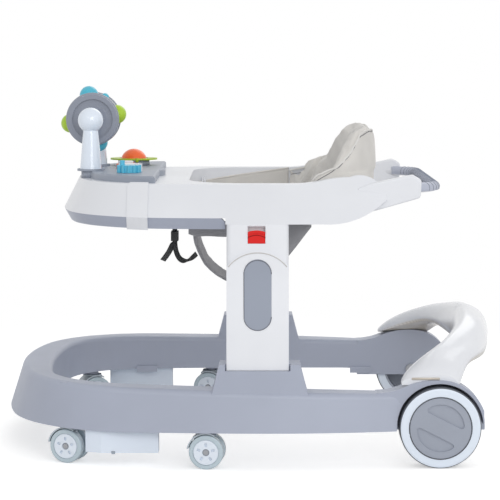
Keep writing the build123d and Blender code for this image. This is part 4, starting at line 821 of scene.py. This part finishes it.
def ribbon(name, points, lean, loop):
    """Flat webbing along a line in the middle plane, turned about it by lean, less so round a loop."""
    curve = bpy.data.curves.new(name, "CURVE")
    curve.dimensions = "3D"
    line = curve.splines.new("NURBS")
    line.points.add(len(points) - 1)
    for place, (x, z) in zip(line.points, points):
        place.co = (x, 0.0, z, 1.0)
    line.order_u = 3
    line.use_endpoint_u = True
    curve.resolution_u = 12
    holder = bpy.data.objects.new(name + "_line", curve)
    scene.collection.objects.link(holder)
    route = [v.co.copy() for v in settled(holder).vertices]
    bpy.data.objects.remove(holder)
    profile = []
    half, edge = STRAP_WIDTH / 2.0, STRAP_THICKNESS / 2.0
    for index in range(STRAP_FACETS + 1):
        across = -half + STRAP_WIDTH * index / STRAP_FACETS
        slope = max(0.0, (abs(across) - (half - edge)) / edge)
        profile.append((across, edge * math.sqrt(max(0.0, 1.0 - slope * slope))))
    shape = profile + [(across, -height) for across, height in profile[-2:0:-1]]
    rings = []
    for index, (point, heading) in enumerate(zip(route, headings(route))):
        turn = lean * (1.0 - groove(index / len(route) - loop, LOOP_WIDTH, LOOP_EASE))
        side = Vector((-heading.z, 0.0, heading.x))
        along = Vector((0.0, math.cos(turn), 0.0)) + side * math.sin(turn)
        out = side * math.cos(turn) - Vector((0.0, math.sin(turn), 0.0))
        rings.append([point + along * a + out * h for a, h in shape])
    return add_piece(name, skin(name, rings), webbing_cloth, "tray")


strap = ribbon("strap", STRAP_LINE, STRAP_LEAN, STRAP_LOOP)
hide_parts("crotch_strap")
ribbon("strap_tail", TAIL_LINE, TAIL_LEAN, TAIL_LOOP)

# Handle grip
HANDLE_CROSS = 0.2618       # middle line of the loop behind the corners
HANDLE_SIDE = 0.203
HANDLE_LEVEL = 0.383
HANDLE_CORNER = 0.060
GRIP_HALF_WIDTH = 0.0092
GRIP_HALF_HEIGHT = 0.0082
RIB = 0.0005
RIB_COUNT = 45
RIB_FIRST = 0.050           # from the start of the left corner
RIB_STEPS = 24
RIB_START = -22.0           # degrees round the grip
RIB_SWEEP = 224.0


def handle_point(distance):
    """Point of the loop and its outward side, at a distance from the start of the left corner."""
    quarter = HANDLE_CORNER * math.pi / 2.0
    bend_x = HANDLE_CROSS - HANDLE_CORNER
    bend_y = HANDLE_SIDE - HANDLE_CORNER
    if distance > quarter:
        return Vector((HANDLE_CROSS, distance - quarter - bend_y, HANDLE_LEVEL)), Vector((1.0, 0.0, 0.0))
    angle = distance / HANDLE_CORNER
    out = Vector((math.sin(angle), -math.cos(angle), 0.0))
    return Vector((bend_x, -bend_y, HANDLE_LEVEL)) + out * HANDLE_CORNER, out


def grip_lines():
    """Thin darker ribs round the upper side of the grip: painted shade standing for its grooves."""
    middle = HANDLE_CORNER * math.pi / 2.0 + HANDLE_SIDE - HANDLE_CORNER
    for index in range(RIB_COUNT):
        distance = RIB_FIRST + (2.0 * (middle - RIB_FIRST)) * index / (RIB_COUNT - 1)
        centre, out = handle_point(min(distance, 2.0 * middle - distance))
        if distance > middle:
            centre.y, out.y = -centre.y, -out.y
        route = []
        for step in range(RIB_STEPS + 1):
            angle = math.radians(RIB_START + RIB_SWEEP * step / RIB_STEPS)
            up = Vector((0.0, 0.0, GRIP_HALF_HEIGHT * math.sin(angle)))
            route.append(centre + out * (GRIP_HALF_WIDTH * math.cos(angle)) + up)
        tube(f"grip_line_{index}", route, RIB, groove_shade_rubber, "tray", 6)


grip_lines()

# Dark seams between hub and tyre
SEAM_RADIUS = 0.0432
HUB_SEAM = 0.0009
SEAM_POINTS = 72
for side, mark in SIDES:
    low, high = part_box("rear_hub_" + mark)
    face = low[1] if side < 0 else high[1]
    middle = Vector(((low[0] + high[0]) / 2.0, face, (low[2] + high[2]) / 2.0))
    turns = [2.0 * math.pi * turn / SEAM_POINTS for turn in range(SEAM_POINTS + 1)]
    ring = [middle + Vector((math.cos(turn), 0.0, math.sin(turn))) * SEAM_RADIUS for turn in turns]
    tube("hub_seam_" + mark, ring, HUB_SEAM, edge_rubber, "rear_wheel_" + mark, 6)

# Lines on the columns, all painted shade: dark lines for the shade in the gap round the inset plate, along
# the pad's rounded shoulder and on the latch's ridge
INSET_RADIUS = 0.0191
GAP_LINE = 0.0006
PAD_HALF_WIDTH = 0.0405
PAD_SHOULDER_RADIUS = 0.0517
PAD_CREST = 0.3006
SHOULDER_LINE = 0.0008
RIDGE_RADIUS = 0.024
RIDGE_DROP = 0.0065         # below the upper edge of the latch
RIDGE_SHARE = 0.42          # half length, as a share of the latch's width
LINE_POINTS = 48
OUTSIDE = 0.002


def on_column(side, node, x, z):
    """Point just outside a piece of the column, at x and z."""
    low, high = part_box(node)
    return Vector((x, low[1] - OUTSIDE if side < 0 else high[1] + OUTSIDE, z))


def inset_line(node, side):
    """Long oval round the inset plate."""
    low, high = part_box(node)
    middle = (low[0] + high[0]) / 2.0
    line = []
    for index in range(LINE_POINTS + 1):
        turn = 2.0 * math.pi * index / LINE_POINTS
        centre = high[2] - INSET_RADIUS if math.sin(turn) >= 0.0 else low[2] + INSET_RADIUS
        x, z = middle + INSET_RADIUS * math.cos(turn), centre + INSET_RADIUS * math.sin(turn)
        line.append(on_column(side, node, x, z))
    return line


def arch_line(node, side, radius, half, crest):
    """Shallow arch across the middle of a piece, with its crest at a level."""
    low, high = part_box(node)
    middle = (low[0] + high[0]) / 2.0
    line = []
    for index in range(LINE_POINTS + 1):
        x = half * (2.0 * index / LINE_POINTS - 1.0)
        line.append(on_column(side, node, middle + x, crest - radius + math.sqrt(radius * radius - x * x)))
    return line


for side, mark in SIDES:
    inset, shell, latch = "column_inset_" + mark, "column_shell_" + mark, "latch_slider_" + mark
    # painted shade: a dark line for the shade in the gap round the inset plate
    line = laid_on(surface_of(solids[inset]), inset_line(inset, side), 0.0)
    tube("inset_gap_" + mark, line, GAP_LINE, gap_shade, "base", 6)
    # painted shade: a greyish line for the shade at the pad's rounded shoulder
    line = arch_line(shell, side, PAD_SHOULDER_RADIUS, PAD_HALF_WIDTH, PAD_CREST)
    line = laid_on(surface_of(solids[shell]), line, 0.0)
    tube("shoulder_" + mark, line, SHOULDER_LINE, step_shade, "base", 6)
    # a thin raised ridge on the latch, its darker red is painted shade
    low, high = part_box(latch)
    line = arch_line(latch, side, RIDGE_RADIUS, RIDGE_SHARE * (high[0] - low[0]), high[2] - RIDGE_DROP)
    line = laid_on(surface_of(solids[latch]), line, 0.0)
    tube("latch_ridge_" + mark, line, GAP_LINE, ridge_shade_red, "latch_" + mark, 6)


def turned(name, centre, profile, finish):
    """Ring turned about an upright axis from a closed profile of radius and level."""
    x, y = centre
    turns = [2.0 * math.pi * turn / LINE_POINTS for turn in range(LINE_POINTS)]
    rings = [[Vector((x + r * math.cos(t), y + r * math.sin(t), z)) for t in turns] for r, z in profile]
    return add_piece(name, skin(name, rings, filled=False), finish, "tray")


# Collar that hides the lower half of the roller ball, and the feet of the spinner's posts
BALL_PLACE = (-0.179, 0.082)
COLLAR = [(0.0217, 0.3995), (0.0243, 0.3995), (0.0240, 0.4083), (0.0217, 0.4083), (0.0217, 0.3995)]
turned("ball_collar", BALL_PLACE, COLLAR, panel_plastic)
FOOT_PLACE = (-0.2305, 0.060)
FOOT = [(0.0, 0.3890), (0.0178, 0.3890), (0.0176, 0.3990), (0.0165, 0.4003), (0.0, 0.4003)]
for side, mark in SIDES:
    turned("post_foot_" + mark, (FOOT_PLACE[0], side * FOOT_PLACE[1]), FOOT, panel_plastic)

# Tab under the near edge of the leaf plate
TAB_PLACE = (-0.1727, 0.0545, 0.4085)
TAB_SIZE = (0.0046, 0.003, 0.0065)
TAB_EDGE = 0.0005
block("leaf_tab", TAB_PLACE, TAB_SIZE, 0.0, leaf_plastic, "tray", "leaf_green", TAB_EDGE)

# Latch springs: a coil in each column
COIL_TURNS = 7
COIL_STEPS = 20
COIL_RADIUS = 0.00185
COIL_WIRE = 0.0004


def spring_ends(name):
    """Middles of the two ends of a spring's solid, the lower end first."""
    spring = solids[name]
    points = [spring.matrix_world @ vertex.co for vertex in spring.data.vertices]
    points.sort(key=lambda point: point.z)
    half = len(points) // 2
    return [sum(end, Vector()) / half for end in (points[:half], points[-half:])]


def coil(name, solid):
    """Coil of wire in place of a spring's plain solid, held at its upper end."""
    low, high = spring_ends(solid)
    along = (high - low).normalized()
    across = along.cross(Vector((0.0, 1.0, 0.0))).normalized()
    deep = along.cross(across)
    length = (high - low).length - 2.0 * COIL_WIRE
    count = COIL_TURNS * COIL_STEPS
    route = []
    for step in range(count + 1):
        turn = 2.0 * math.pi * step / COIL_STEPS
        around = (across * math.cos(turn) + deep * math.sin(turn)) * COIL_RADIUS
        route.append(low + along * (COIL_WIRE + length * step / count) + around)
    piece = tube(name, route, COIL_WIRE, steel, "base", 6)
    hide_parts(solid)
    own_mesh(piece)


for mark in ("left", "right"):
    coil("latch_coil_" + mark, "latch_spring_" + mark)

# Snap strips at the bow's landings
SNAP_PLACE = (0.2435, 0.2624, 0.1236)
SNAP_SIZE = (0.039, 0.0012, 0.0034)
for side, mark in SIDES:
    place = (SNAP_PLACE[0], side * SNAP_PLACE[1], SNAP_PLACE[2])
    block("bow_snap_" + mark, place, SNAP_SIZE, 0.0, snap_plastic, "base", "white_plastic", SMALL_EDGE)

# Floor, backdrop and light
FLOOR_FADE = (0.6, 1.3)     # the floor fades into the backdrop between these distances
FLOOR_REACH = 1.4
FLOOR_WHITE = (0.9, 0.9, 0.9, 1.0)
FLOOR_GLOW = (0.45, 0.45, 0.45, 1.0)
BLACK = (0.0, 0.0, 0.0, 1.0)
FULL_WHITE = (1.0, 1.0, 1.0, 1.0)
AMBIENT = 0.64
LAMP_AIM = Vector((0.0, 0.0, 0.25))
floor_finish = Finish("floor", "ShaderNodeMixShader")
x, y, z = floor_finish.axes()
away = floor_finish.node("ShaderNodeMath", {"operation": "SQRT"}, {0: x * x + y * y})
seen = floor_finish.node("ShaderNodeLightPath", None, None, "Is Camera Ray")
glow_colour = floor_finish.mix(seen, BLACK, FLOOR_GLOW)
lit = floor_finish.node("ShaderNodeBsdfDiffuse", None, {"Color": FLOOR_WHITE})
glow = floor_finish.node("ShaderNodeEmission", None, {"Color": glow_colour})
floor_finish.feed(0, away.step(*FLOOR_FADE))
floor_finish.feed(1, floor_finish.node("ShaderNodeAddShader", None, {0: lit, 1: glow}))
floor_finish.feed(2, floor_finish.node("ShaderNodeBsdfTransparent"))
floor_mesh = bpy.data.meshes.new("floor")
corners = [(x * FLOOR_REACH, y * FLOOR_REACH, 0.0) for x, y in ((-1, -1), (1, -1), (1, 1), (-1, 1))]
floor_mesh.from_pydata(corners, [], [(0, 1, 2, 3)])
floor_mesh.materials.append(floor_finish.material)
floor = bpy.data.objects.new("floor", floor_mesh)
scene.collection.objects.link(floor)

# Soft even light from all round; camera, gloss and glass see the backdrop
world = bpy.data.worlds.new("studio")
scene.world = world
studio = Shading(world, "ShaderNodeMixShader", "ShaderNodeOutputWorld")
seen, glossy, through = (
    studio.node("ShaderNodeLightPath", None, None, ray)
    for ray in ("Is Camera Ray", "Is Glossy Ray", "Is Transmission Ray")
)
studio.feed(0, seen.larger(glossy).larger(through))
studio.feed(1, studio.node("ShaderNodeBackground", None, {"Color": FULL_WHITE, "Strength": AMBIENT}))
studio.feed(2, studio.node("ShaderNodeBackground", None, {"Color": FULL_WHITE}))


def lamp(name, place, size, power):
    light = bpy.data.lights.new(name, "AREA")
    light.size = size
    light.energy = power
    holder = bpy.data.objects.new(name, light)
    scene.collection.objects.link(holder)
    holder.location = place
    holder.rotation_euler = (LAMP_AIM - holder.location).to_track_quat("-Z", "Y").to_euler()


lamp("key", (0.8, -3.4, 1.6), 1.8, 33.0)
lamp("fill", (2.6, -1.6, 1.8), 2.2, 6.0)
lamp("rear", (1.0, 2.8, 2.6), 2.2, 16.0)
lamp("sparkle", (-1.3, -2.8, 2.0), 0.35, 3.0)
